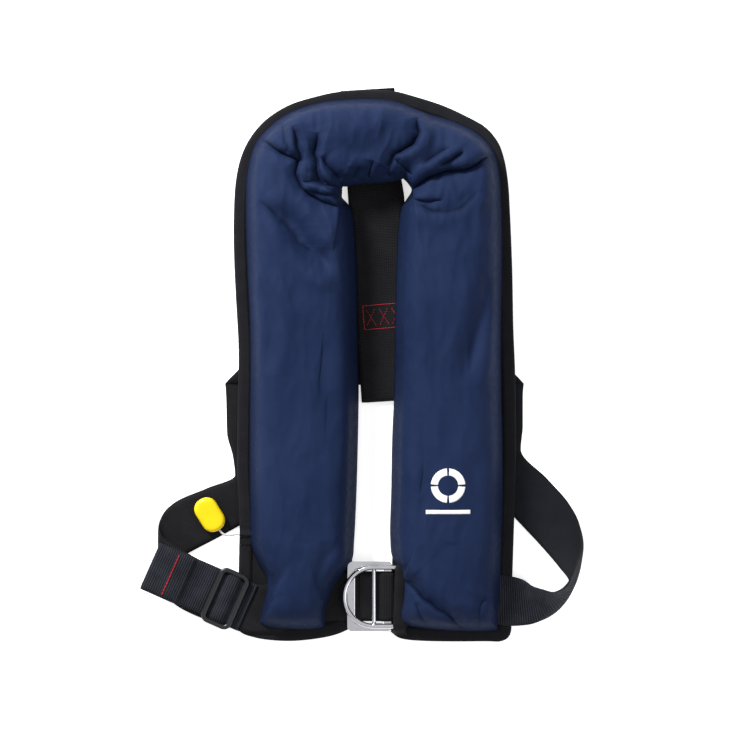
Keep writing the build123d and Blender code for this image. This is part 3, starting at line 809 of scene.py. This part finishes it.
def split_cover(obj, names):
    """Cuts the cover along its two seams into three pieces, with an attribute of painted shade that darkens creases
    and the rim.
    """
    data = coords(obj)
    row_of = np.empty(len(data), np.float32)
    obj.data.attributes["row"].data.foreach_get("value", row_of)
    made = []
    bounds = [-1, at[LEFT_SEAM], at[RIGHT_SEAM], rows + 1]
    quads = np.empty(len(obj.data.loops), np.int32)
    obj.data.loops.foreach_get("vertex_index", quads)
    quads = quads.reshape(-1, 4)
    middle = row_of[quads].mean(1)
    for name, low, high in zip(names, bounds, bounds[1:]):
        keep = quads[(middle >= low) & (middle < high)]
        used, index = np.unique(keep, return_inverse=True)
        piece = mesh_object(name, data[used], index.reshape(-1, 4).tolist())
        x, y, z = (data[used] / MM).T
        # painted shade: half strength at the rim, fading to none 30 mm above it, and painted shade in the creases
        shaded = 0.5 * np.clip(1 - (z - RIM_Z) / 30, 0, 1)
        painted_shade_value = np.maximum(crease_shade_mask(x, y, CREASES), shaded)
        piece.data.attributes.new("painted_shade", "FLOAT", "POINT").data.foreach_set("value", painted_shade_value.astype(np.float32))
        made.append(piece)
    discard(obj)
    return made


COVER_NAMES = ["left_lobe_skin", "collar_skin", "right_lobe_skin"]
COVER_NODES = ["cover_left_lobe", "cover_collar", "cover_right_lobe"]
for skin, cad_node in zip(split_cover(cover, COVER_NAMES), COVER_NODES):
    thicken(skin)
    settle(skin, NAVY, "jacket", cad_node)

# ---------------------------------------------------------------- panel and binding

# Stations of the black panel under the cover, in the same order: x and y on its outer edge, then on its inner edge
PANEL_EDGE = [
    (-129, -268, -18.4, -266), (-127.5, -236, -15, -236), (-127, -205, -14, -201), (-126.3, -155, -12, -151),
    (-128.5, -108, -10, -97), (-128, -46, -9, -36), (-127.2, 14, -9.5, 34), (-130.2, 72, -10, 99),
    (-131.7, 106, -11.5, 132), (-132.1, 144, -17, 150), (-130.2, 182, -24, 162), (-125, 207, -26.5, 171),
    (-115.5, 227, -27, 179), (-101, 244, -24, 184), (-78, 259, -17, 186), (-50, 268, -9, 184), (-26, 273, -2, 184),
    (0, 274.5, 8, 184), (28, 273.4, 18, 187), (48, 268.3, 28, 189), (77, 259, 36, 190), (101, 248, 42, 189),
    (120, 237, 46, 184), (132, 222.4, 48, 178), (138, 206, 48, 171), (142, 182, 44, 163), (144, 149, 39, 150),
    (146, 100, 36, 120), (147.3, 35, 33, 44), (149, -8, 31, -16), (150, -80, 28.5, -76), (149, -129, 27.5, -129),
    (148, -160, 27, -166), (146, -223, 25.5, -221), (145, -272, 23, -264),
]
PANEL_TOP, PANEL_LOW = 7.7, 6.35


def panel_outline():
    """The panel's outer and inner lines, and the lines of its two feet."""
    line = smooth_line(PANEL_EDGE, 5)
    outer, inner = line[:, :2], line[:, 2:]
    left_foot = smooth_line([inner[0], (-30, -271), (-52, -275.5), (-80, -277.5), (-110, -274.5), outer[0]], 5)
    right_foot = [outer[-1], (138, -277.3), (120, -277.8), (60, -277.5), (38, -275.5), (28, -271.5), inner[-1]]
    right_foot = smooth_line(right_foot, 5)
    return outer, inner, left_foot, right_foot


outer_line, inner_line, left_foot, right_foot = panel_outline()


def panel_piece():
    """The flat black back of the jacket, a plate with a slightly wavy face."""
    share = np.linspace(0, 1, 25)
    grid = outer_line[:, None] + (inner_line - outer_line)[:, None] * share[None, :, None]
    feet = []
    for foot, row in ((left_foot[::-1], grid[0]), (right_foot, grid[-1])):
        run_f = run_along(foot)
        edge = np.stack([np.interp(share * run_f[-1], run_f, foot[:, k]) for k in range(2)], 1)
        feet += [edge[None], (edge * 0.5 + row * 0.5)[None]]
    grid = np.concatenate([*feet[:2], grid, *feet[:1:-1]])
    flat = grid.reshape(-1, 2)
    wave = np.array([noise.noise(Vector((p[0], p[1], 0)) * 0.03) for p in flat])
    faces_z = (PANEL_TOP + 0.15 * wave, PANEL_LOW + 0.05 * wave)
    verts = np.concatenate([np.column_stack([flat, z]) for z in faces_z]) * MM
    return mesh_object("panel_cloth", verts, slab_faces(*grid.shape[:2], flip=True))


settle(panel_piece(), LINING, "jacket", "back_panel")

# Section of the binding, folded over the panel's edge: outwards from the edge, and up
BINDING_SHAPE = [(-12.2, 8.2), (-12.0, 8.8), (-9.5, 9.0), (-5, 9.15), (-1.6, 9.1), (0.2, 8.6), (0.9, 7.5),
                 (0.5, 6.5), (-1.0, 6.15), (-6, 6.1), (-9.8, 6.1), (-10, 6.3), (-6, 6.34), (-2, 6.34), (-1.2, 7.2),
                 (-2, 7.86), (-6, 7.9), (-11, 7.95)]


def binding_piece():
    """The tape round the panel's outer edge, and the line of its seam."""
    path = np.concatenate([left_foot[:-1], outer_line[:-1], right_foot])
    path = smooth_line(path[::2], 3.0)
    along = unit(np.gradient(path, axis=0))
    for _ in range(3):
        along[1:-1] = unit(along[:-2] + along[1:-1] * 2 + along[2:])
    out = np.stack([-along[:, 1], along[:, 0]], 1)
    verts, uvs = [], []
    run_b = run_along(path)
    for i, p in enumerate(path):
        pucker = 0.18 * math.sin(run_b[i] / 3.4) + 0.25 * noise.noise(Vector((p[0], p[1], 0)) * 0.05)
        for k, (n, z) in enumerate(BINDING_SHAPE):
            lift = pucker if z > 8.5 and n > -11 else 0
            spot = p + out[i] * n
            verts.append((spot[0] * MM, spot[1] * MM, (z + lift) * MM))
            uvs.append((run_b[i] * MM, n * MM))
    count = len(BINDING_SHAPE)
    faces = grid_faces(len(path), count, wrap_cols=True) + end_caps(len(path), count)
    tape = mesh_object("binding_tape", verts, faces, uvs)
    seam = np.column_stack([path + out * -9.6, np.full(len(path), 9.25)])
    return tape, seam


tape, tape_seam = binding_piece()
settle(tape, BINDING, "jacket", "edge_binding")
settle(stitches("binding_thread", [tape_seam], 3.2, 1.4, 0.28, 0.1), BLACK_THREAD, "jacket")

# ---------------------------------------------------------------- straps

WEB_THICK = 1.75
LOW = 0.95  # middle of webbing that lies on the floor
BELT_Y = -233
RING_X, RING_Z = 34, 16.5  # the D ring's straight bar, which the belt's end wraps


def across(x, y, z, heading):
    """The two edge points of flat webbing centred at x, y, z that runs at a heading in degrees."""
    h = math.radians(heading)
    side = np.array([-math.sin(h), math.cos(h), 0]) * WEB_WIDTH / 2
    middle = np.array([x, y, z], float)
    return tuple(middle + side), tuple(middle - side)


# Side view of the belt's end round the buckle's bar: x and z
buckle_wrap = [(-6, 12.1), (6, 12.1), (12, 12.5), (18, 14.95), (25.5, 14.95), (27.3, 14.2), (28, 12.45),
               (27.3, 10.7), (25.5, 10), (-24, 10), (-44, 10)]
left_belt = [((x, BELT_Y + 25, z), (x, BELT_Y - 25, z)) for x, z in buckle_wrap]
left_belt += [across(-62, -235, 10, 8), across(-80, -241, 10, 18), across(-97, -246, 10, 8),
              across(-108, -246.5, 10, -12), across(-120, -244, 10, -24), across(-186, -214.6, 10, -24)]
left_belt += [((-205, -172, 9.3), (-205, -222, 9.3)), ((-208.5, -163, 6), (-208.5, -211, 6)),
              ((-205, -152, 2), (-203, -204, 2)), ((-192, -139, 1), (-176, -189, 1)),
              ((-160, -125, LOW), (-142, -171, LOW)), ((-132, -112, LOW), (-118, -156, LOW)),
              ((-134, -94, LOW), (-97, -128, LOW)), ((-140, -70, LOW), (-91, -84, LOW)),
              ((-141, -32, LOW), (-91, 18, LOW)), ((-141.8, -20, 2), (-91.8, 30, 2)),
              ((-139, -19, 3), (-89, 31, 3)), ((-60, -21, 3), (-60, 29, 3)), ((60, -21, 3), (60, 29, 3))]
right_belt = [((60, -21, 3), (60, 29, 3)), ((156, -19, 3), (106, 31, 3)), ((158.8, -20, 2), (108.8, 30, 2)),
              ((158, -32, LOW), (108, 18, LOW)), ((158, -62, LOW), (108, -66, LOW)),
              ((156, -86, LOW), (114, -114, LOW)), ((183, -116, 1.2), (149, -154, 1.2)),
              ((204, -140, 1.8), (176, -183, 6)),
              ((214.5, -160, 2), (193, -203, 18)), ((219, -182, 2), (202, -216, 33)),
              ((216, -205, 2.4), (195, -224, 40)), ((206, -232, 3.6), (185, -226, 42)),
              ((192, -249, 5.6), (176, -224, 38)), ((178, -257, 8), (167, -222, 27)),
              ((162, -262, 9.4), (157, -216, 14)), ((147, -263, 10), (145, -213, 10)),
              ((120, -260, 10), (120, -210, 10)), ((70, -258, 10), (70, -208, 10))]
ring_wrap = [(41, 10)]
for turn in (-60, -110, -160, -210, -260, -310):
    ring_wrap.append((RING_X + 4.1 * math.cos(math.radians(turn)), RING_Z + 4.1 * math.sin(math.radians(turn))))
ring_wrap += [(45, 12.3), (66, 11.9)]
right_belt += [((x, BELT_Y - 25, z), (x, BELT_Y + 25, z)) for x, z in ring_wrap]

settle(webbing("belt_left", left_belt, WEB_THICK, 2.5), WEBBING, "jacket", "waist_belt")
settle(webbing("belt_right", right_belt, WEB_THICK, 2.5), LOOP_WEB, "jacket", "waist_belt")


def turned(x, y, spot, angle):
    """A point turned by an angle in degrees and moved by spot."""
    c, s = math.cos(math.radians(angle)), math.sin(math.radians(angle))
    return spot[0] + c * x - s * y, spot[1] + s * x + c * y


def place(points, spot, angle):
    """Points of a piece's own x, y, z frame, turned and moved into the jacket's frame."""
    return [(*turned(x, y, spot, angle), z) for x, y, z in points]


def strip(profile, spot, angle):
    """Edge points of straight webbing with a side view of x and z points."""
    half = WEB_WIDTH / 2
    return [tuple(place([(x, half, z), (x, -half, z)], spot, angle)) for x, z in profile]


STRAP_SPOT, STRAP_ANGLE = (20.5, -37), 93.8
# Side view from the collar down to the loop and back under: x along the strap, and z
strap_profile = [(314, 5.1), (227, 5.1), (199, 5.1), (160, 5.1), (110, 5.1), (3, 5.1), (0.8, 4.4), (0.2, 3),
                 (0.8, 1.6), (3, LOW), (68, LOW), (76, 3.25), (104, 3.25)]
# How much wider the strap's upper layer is at points along it
STRAP_FLARE = ((110, 0), (160, 3), (199, 6.5), (227, 4.6), (314, 4))
strap_pairs = []
for (left, right), (x, z) in zip(strip(strap_profile, STRAP_SPOT, STRAP_ANGLE), strap_profile):
    flare = float(np.interp(x, *zip(*STRAP_FLARE))) if z > 5 else 0.0
    strap_pairs.append((left, (right[0] + flare, right[1], right[2])))
settle(webbing("strap_web", strap_pairs, WEB_THICK, 2.5), WEBBING, "jacket", "back_strap")

# Red box of stitches with three crosses in it
BOX_SPOT, BOX_ANGLE, BOX_Z = (17.5, 48), 4.6, 6.1
corners = [(-20, -12), (20, -12), (20, 12), (-20, 12), (-20, -12)]
frame_line = place([(x, y, BOX_Z) for x, y in corners], BOX_SPOT, BOX_ANGLE)
cross_lines = []
for middle in (-12.5, 0.5, 13.0):
    for lean in (-4.6, 4.6):
        cross = [(middle - lean, -8.5, BOX_Z), (middle + lean, 8.5, BOX_Z)]
        cross_lines.append(place(cross, BOX_SPOT, BOX_ANGLE))
strap_thread = join("strap_thread", [
    stitches("box", [frame_line], 2.6, 0.3, 0.42, 0.15),
    stitches("crosses", cross_lines, 2.0, 0.7, 0.24, 0.1),
])
settle(strap_thread, RED_THREAD, "jacket")

ADJUSTER_SPOT, ADJUSTER_ANGLE = (-141, -235), 156
# Side view over the slider's bar to the folded end: x along the belt, and z
tail_profile = [(-24, 12.1), (-14, 12.1), (-9, 12.5), (-4, 16), (0, 16.6), (4, 16), (9, 12.5), (14, 12.1),
                (24, 12.1), (32, 12.6), (38, 14.3), (44, 16.3), (52, 18.3), (60, 19.3), (80, 19.5), (81.4, 20.5),
                (80, 21.5), (60, 21.3), (52, 20.3), (44, 18.4)]
tail_pairs = strip(tail_profile, ADJUSTER_SPOT, ADJUSTER_ANGLE)
settle(webbing("tail_web", tail_pairs, WEB_THICK, 1.5), TAIL_WEB, "adjuster", "belt_tail")
tail_line = place([(59.5, -22, 22.25), (59.5, 22, 22.25)], ADJUSTER_SPOT, ADJUSTER_ANGLE)
settle(stitches("tail_thread", [tail_line], 3.4, 0.25, 0.55, 0.15), RED_THREAD, "adjuster")

# ---------------------------------------------------------------- fittings


def rounded_loop(wide, high, radius, steps=10):
    """Points of a rounded rectangle, counter-clockwise."""
    out = []
    for cx, cy, start in ((1, 1, 0), (-1, 1, 90), (-1, -1, 180), (1, -1, 270)):
        for k in range(steps + 1):
            a = math.radians(start + 90 * k / steps)
            x, y = cx * (wide / 2 - radius), cy * (high / 2 - radius)
            out.append((x + radius * math.cos(a), y + radius * math.sin(a)))
    return np.array(out)


def squircle(count, soft):
    """Points round a circle of radius 1 that is squarer the lower soft is."""
    out = []
    for k in range(count):
        a = 2 * math.pi * k / count
        c, s = math.cos(a), math.sin(a)
        out.append((math.copysign(abs(c) ** soft, c), math.copysign(abs(s) ** soft, s)))
    return out


def frame_plate(name, wide, high, bar_x, bar_y, low, top, radius, soft, spot, angle):
    """A rounded plastic or steel frame: a soft-edged section swept round a rectangular window."""
    outer = rounded_loop(wide, high, radius)
    inner = rounded_loop(wide - 2 * bar_x, high - 2 * bar_y, max(radius - min(bar_x, bar_y), 1.2))
    section = [(0.5 + 0.5 * c, 0.5 + 0.5 * s) for c, s in squircle(20, soft)]
    verts = []
    for o, i in zip(outer, inner):
        for across_share, up_share in section:
            p = i + (o - i) * across_share
            verts.append((*turned(p[0], p[1], spot, angle), low + (top - low) * up_share))
    n, m = len(outer), len(section)
    faces = grid_faces(n, m, wrap_cols=True) + closing_faces(m, (n - 1) * m)
    return mesh_object(name, np.array(verts) * MM, faces)


def bar_block(name, wide, high, low, top, soft, spot, angle):
    """A soft-edged bar lying along its own Y."""
    section = squircle(16, soft)
    stations = 9
    verts = []
    for i in range(stations):
        y = -high / 2 + high * i / (stations - 1)
        for c, s in section:
            x, z = wide / 2 * c, (low + top) / 2 + (top - low) / 2 * s
            verts.append((*turned(x, y, spot, angle), z))
    faces = grid_faces(stations, len(section), wrap_cols=True) + end_caps(stations, len(section))
    return mesh_object(name, np.array(verts) * MM, faces)


adjuster = join("adjuster_frame", [
    frame_plate("slider", 33, 59, 5.2, 4.6, 13.35, 18.1, 8.5, 0.7, ADJUSTER_SPOT, ADJUSTER_ANGLE),
    bar_block("slider_bar", 5.2, 52, 13.35, 14.85, 0.6, ADJUSTER_SPOT, ADJUSTER_ANGLE),
])
settle(adjuster, BLACK_PLASTIC, "adjuster", "belt_adjuster")

plate = frame_plate("buckle_plate", 45, 70, 8, 8, 11.2, 13.7, 5, 0.32, (3.5, BELT_Y), 0)
settle(plate, STEEL, "jacket", "buckle_frame")


def d_ring_piece():
    """The D ring, flat on the belt: a straight bar with short legs, a round bow, and a bar across the legs."""
    bow_x, half, rod, cross_rod = 8, 29.5, 2.5, 2.2
    path = [(RING_X, BELT_Y + y) for y in (-20, -10, 0, 10, 20, 26)] + [(RING_X, -205.6), (33.4, -204.2)]
    path += [(x, BELT_Y + half) for x in (32, 26, 20, 14)]
    for k in range(41):
        a = math.radians(90 + 180 * k / 40)
        path.append((bow_x + half * math.cos(a), BELT_Y + half * math.sin(a)))
    path += [(x, BELT_Y - half) for x in (14, 20, 26, 32)]
    path += [(33.4, -261.8), (RING_X, -260.4), (RING_X, -257)]
    bar = [(bow_x, BELT_Y + y, RING_Z) for y in np.linspace(-half, half, 13)]
    return join("tether_ring_rod", [
        tube("ring_rod", [(x, y, RING_Z) for x, y in path], rod, 18, closed=True),
        tube("ring_bar", bar, cross_rod, 16),
    ])


settle(d_ring_piece(), STEEL, "ring", "d_ring")


def pebble(name, wide, high, radius, thick, edge, spot, angle, middle):
    """A flat moulded tab with fully rounded edges."""
    half = thick / 2
    rings = []
    for k in range(11):
        a = math.pi * (k / 10 - 0.5)
        inset = edge * (1 - math.cos(a))
        z = (half - edge) * (1 if a > 0 else -1 if a < 0 else 0) + edge * math.sin(a)
        loop = rounded_loop(wide - 2 * inset, high - 2 * inset, max(radius - inset, 0.5), 8)
        rings.append((loop, z))
    top, bottom = rings[-1], rings[0]
    for share in (0.7, 0.35):
        rings.append((top[0] * share, top[1] + 0.15 * (1 - share)))
        rings.insert(0, (bottom[0] * share, bottom[1] - 0.1 * (1 - share)))
    verts = []
    for loop, z in rings:
        verts += [(*turned(x, y, spot, angle), middle + z) for x, y in loop]
    n, m = len(rings), len(rings[0][0])
    faces = grid_faces(n, m, wrap_cols=True) + end_caps(n, m, flip=True)
    return mesh_object(name, np.array(verts) * MM, faces)


handle = pebble("handle_tab", 36, 24, 11, 9, 4.2, (-157, -151.3), -58, 9.6)
settle(handle, YELLOW, "handle", "pull_handle")


def corner_piece():
    """The black corner of the right lobe that lies over the end of the ring and its webbing."""
    # y, height, left and right
    sections = [(-197, 12.5, 34, 48), (-200.5, 17.5, 31, 48), (-203.5, 20.4, 29.4, 47.5), (-210, 21.4, 28.6, 47),
                (-220, 22.5, 28, 46.5), (-233, 22.6, 27.6, 46), (-246, 22.5, 27.2, 45.5), (-256, 21.4, 26.8, 44),
                (-262, 20.4, 26.6, 42), (-266.5, 17.5, 27, 41), (-270, 12.5, 28.5, 41), (-272.5, 10.2, 30.5, 41)]
    line = smooth_line(sections, 2.2)
    across_count = 16
    verts = []
    for y, top, left, right in line:
        for u in np.linspace(0, 1, across_count):
            x = left + (right - left) * u
            slope = np.clip((x - 37.5) / max(right - 37.5, 1), 0, 1)
            z = top - max(top - 12.5, 0) * slope**1.5 - 1.3 * math.exp(-((u / 0.06) ** 2))
            z += 0.45 * noise.noise(Vector((x * 0.16, y * 0.07, 3)))
            verts.append((x + 0.8 * noise.noise(Vector((0, y * 0.11, 5))), y, z))
    faces = grid_faces(len(line), across_count, flip=True)
    return thicken(mesh_object("corner_cloth", np.array(verts) * MM, faces))


corner = settle(corner_piece(), LINING, "jacket")
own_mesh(corner)

# ---------------------------------------------------------------- pull cord, pin spring and cord tunnel


def cord_curve(name, route):
    """A round 2 mm cord through points in millimetres, as a curve."""
    curve = bpy.data.curves.new(name, "CURVE")
    curve.dimensions = "3D"
    curve.bevel_depth = 1 * MM
    curve.bevel_resolution = 4
    curve.use_fill_caps = True
    spline = curve.splines.new("NURBS")
    spline.points.add(len(route) - 1)
    for point, spot in zip(spline.points, route):
        point.co = (*[c * MM for c in spot], 1)
    spline.order_u = 3
    spline.use_endpoint_u = True
    spline.resolution_u = 16
    return link(bpy.data.objects.new(name, curve))


GAS_X, GAS_Z = -84, 26  # the line of the gas cylinder and the firing pin, along Y
outer_route = [(-92.3, CORD_Y, 10), (-110, CORD_Y - 0.8, 10), (-128.5, CORD_Y, 10), (-136.5, -171.9, 9.6),
               (-144.28, -171.65, 9.6), (-149.58, -163.17, 9.6)]
cord = settle(cord_curve("lanyard", outer_route), CORD, "handle", "pull_cord")

inner_route = [(-74.16, CORD_Y, 26), (-83, CORD_Y, 12.5), (-92, CORD_Y, 10)]
inner_line = cord_curve("lever_cord_line", inner_route)
bpy.context.view_layer.update()
inner_mesh = bpy.data.meshes.new_from_object(inner_line.evaluated_get(bpy.context.evaluated_depsgraph_get()))
inner_curve = inner_line.data
bpy.data.objects.remove(inner_line)
bpy.data.curves.remove(inner_curve)
for poly in inner_mesh.polygons:
    poly.use_smooth = True
lever_cord = link(bpy.data.objects.new("lever_cord", inner_mesh))
settle(lever_cord, CORD, "handle", "pull_cord_inner")
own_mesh(lever_cord)


def spring_piece(low, high, radius, wire, turns):
    """A compression spring along Y round the firing pin, its end coils closer than its middle ones."""
    steps, sides = int(turns * 28), 10
    verts = []
    for i in range(steps + 1):
        t = i / steps
        a = 2 * math.pi * turns * t
        out = np.array([math.cos(a), 0, math.sin(a)])
        y = low + (high - low) * (t - 0.08 * math.sin(2 * math.pi * t))
        spot = np.array([GAS_X, y, GAS_Z]) + radius * out
        for k in range(sides):
            turn = 2 * math.pi * k / sides
            verts.append((spot + wire * (out * math.cos(turn) + np.array([0, 1, 0]) * math.sin(turn))) * MM)
    faces = grid_faces(steps + 1, sides, wrap_cols=True) + end_caps(steps + 1, sides)
    return mesh_object("return_spring", verts, faces)


spring = settle(spring_piece(-138.2, -130.8, 4.4, 0.4, 3.5), STEEL, "jacket", "pin_spring")
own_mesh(spring)


def tunnel_piece():
    """A doubled tape sewn over the cord where it leaves the jacket's edge."""
    n, m = 15, 21
    verts = []
    for i in range(n):
        for j in range(m):
            x = -126.6 + 17 * i / (n - 1)
            y = CORD_Y - 11 + 22 * j / (m - 1)
            arch = 2.5 * math.exp(-(((y - CORD_Y + 0.4) / 2.6) ** 2))
            z = 9.75 + arch + 0.1 * math.sin(y * 1.3)
            verts.append((x, y + 0.3 * math.sin(x * 0.8), z))
    verts += [(x, y, z - 0.55) for x, y, z in verts]
    uvs = [(x * MM, y * MM) for x, y, z in verts]
    return mesh_object("cord_tunnel", np.array(verts) * MM, slab_faces(n, m, flip=True), uvs)


settle(tunnel_piece(), BINDING, "jacket")

# ---------------------------------------------------------------- printed mark


def drop(points, skins, rise):
    """Points at the height of the cover skins under them, plus a rise, all in millimetres."""
    out = []
    for x, y in points:
        best = RIM_Z
        for skin in skins:
            hit = skin.ray_cast(Vector((x * MM, y * MM, ABOVE)), DOWN)[0]
            if hit is not None:
                best = max(best, hit.z / MM)
        out.append((x, y, best + rise))
    return out


def patch(name, grid, skins, rise):
    """A printed patch: a grid of points dropped on the cover, 0.35 mm thick."""
    spots = drop(grid.reshape(-1, 2), skins, rise)
    under = [(x, y, z - 0.35) for x, y, z in spots]
    return mesh_object(name, np.array(spots + under) * MM, slab_faces(*grid.shape[:2]))


skins = [bvh(bpy.data.objects[n]) for n in COVER_NAMES]
MARK_RISE = 0.2
ring_marks = []
for quarter in range(4):
    angles = np.radians(np.linspace(quarter * 90 + 4, quarter * 90 + 86, 26))
    radii = np.linspace(10, 17, 8)
    grid = np.stack([81 + radii[:, None] * np.cos(angles)[None], -120 + radii[:, None] * np.sin(angles)[None]], 2)
    ring_marks.append(patch(f"q{quarter}", grid[:, ::-1], skins, MARK_RISE))
settle(join("print_ring_mark", ring_marks), PRINT, "jacket", "printed_ring")
xs, ys = np.linspace(59, 103, 34), np.linspace(-148, -144, 5)
bar_mark = patch("print_bar_mark", np.stack(np.meshgrid(xs, ys), 2), skins, MARK_RISE)
settle(bar_mark, PRINT, "jacket", "printed_bar")

# ---------------------------------------------------------------- floor, light and camera

FLOOR_HALF, FLOOR_Z = 4, -0.0002
corners = [(x * FLOOR_HALF, y * FLOOR_HALF, FLOOR_Z) for x, y in ((-1, -1), (1, -1), (1, 1), (-1, 1))]
floor = mesh_object("studio_floor", corners, [[0, 1, 2, 3]])
paper, _, paper_bsdf = shader("floor_paper", (0.9, 0.9, 0.9), 0.8)
paper_bsdf.inputs["Emission Color"].default_value = (1, 1, 1, 1)
paper_bsdf.inputs["Emission Strength"].default_value = 0.6
dress(floor, paper)


def area_light(name, spot, size, power):
    """A round lamp that faces the jacket's middle."""
    data = bpy.data.lights.new(name, "AREA")
    data.shape, data.size, data.energy = "DISK", size, power
    lamp = link(bpy.data.objects.new(name, data))
    lamp.location = spot
    lamp.rotation_euler = (-Vector(spot)).to_track_quat("-Z", "Y").to_euler()


area_light("key", (-1.2, 1.5, 1.3), 0.6, 85)
area_light("fill", (1.8, -0.8, 1.8), 1.8, 16)
world = bpy.data.worlds.new("studio")
world.use_nodes = True
sky = world.node_tree
direction = sky.nodes.new("ShaderNodeTexCoord")
split = sky.nodes.new("ShaderNodeSeparateXYZ")
sky.links.new(direction.outputs["Generated"], split.inputs[0])
tone = sky.nodes.new("ShaderNodeValToRGB")
SKY_TONES = ((0.12, (0.16, 0.17, 0.19, 1)), (0.62, (1, 1, 1, 1)))  # height from 0 to 1, and colour
for stop, (height_share, colour) in zip(tone.color_ramp.elements, SKY_TONES):
    stop.position, stop.color = height_share, colour
sky.links.new(split.outputs["Z"], tone.inputs[0])
sky.links.new(tone.outputs[0], sky.nodes["Background"].inputs[0])
sky.nodes["Background"].inputs[1].default_value = 0.7
bpy.context.scene.world = world
bpy.context.scene.view_settings.view_transform = "Standard"

camera_data = bpy.data.cameras.new("camera")
camera_data.sensor_width = 36
camera_data.lens = 122.3
camera_data.clip_end = 50
camera = link(bpy.data.objects.new("camera", camera_data))
camera.location = (-0.001, -0.001, 2.5)
bpy.context.scene.camera = camera
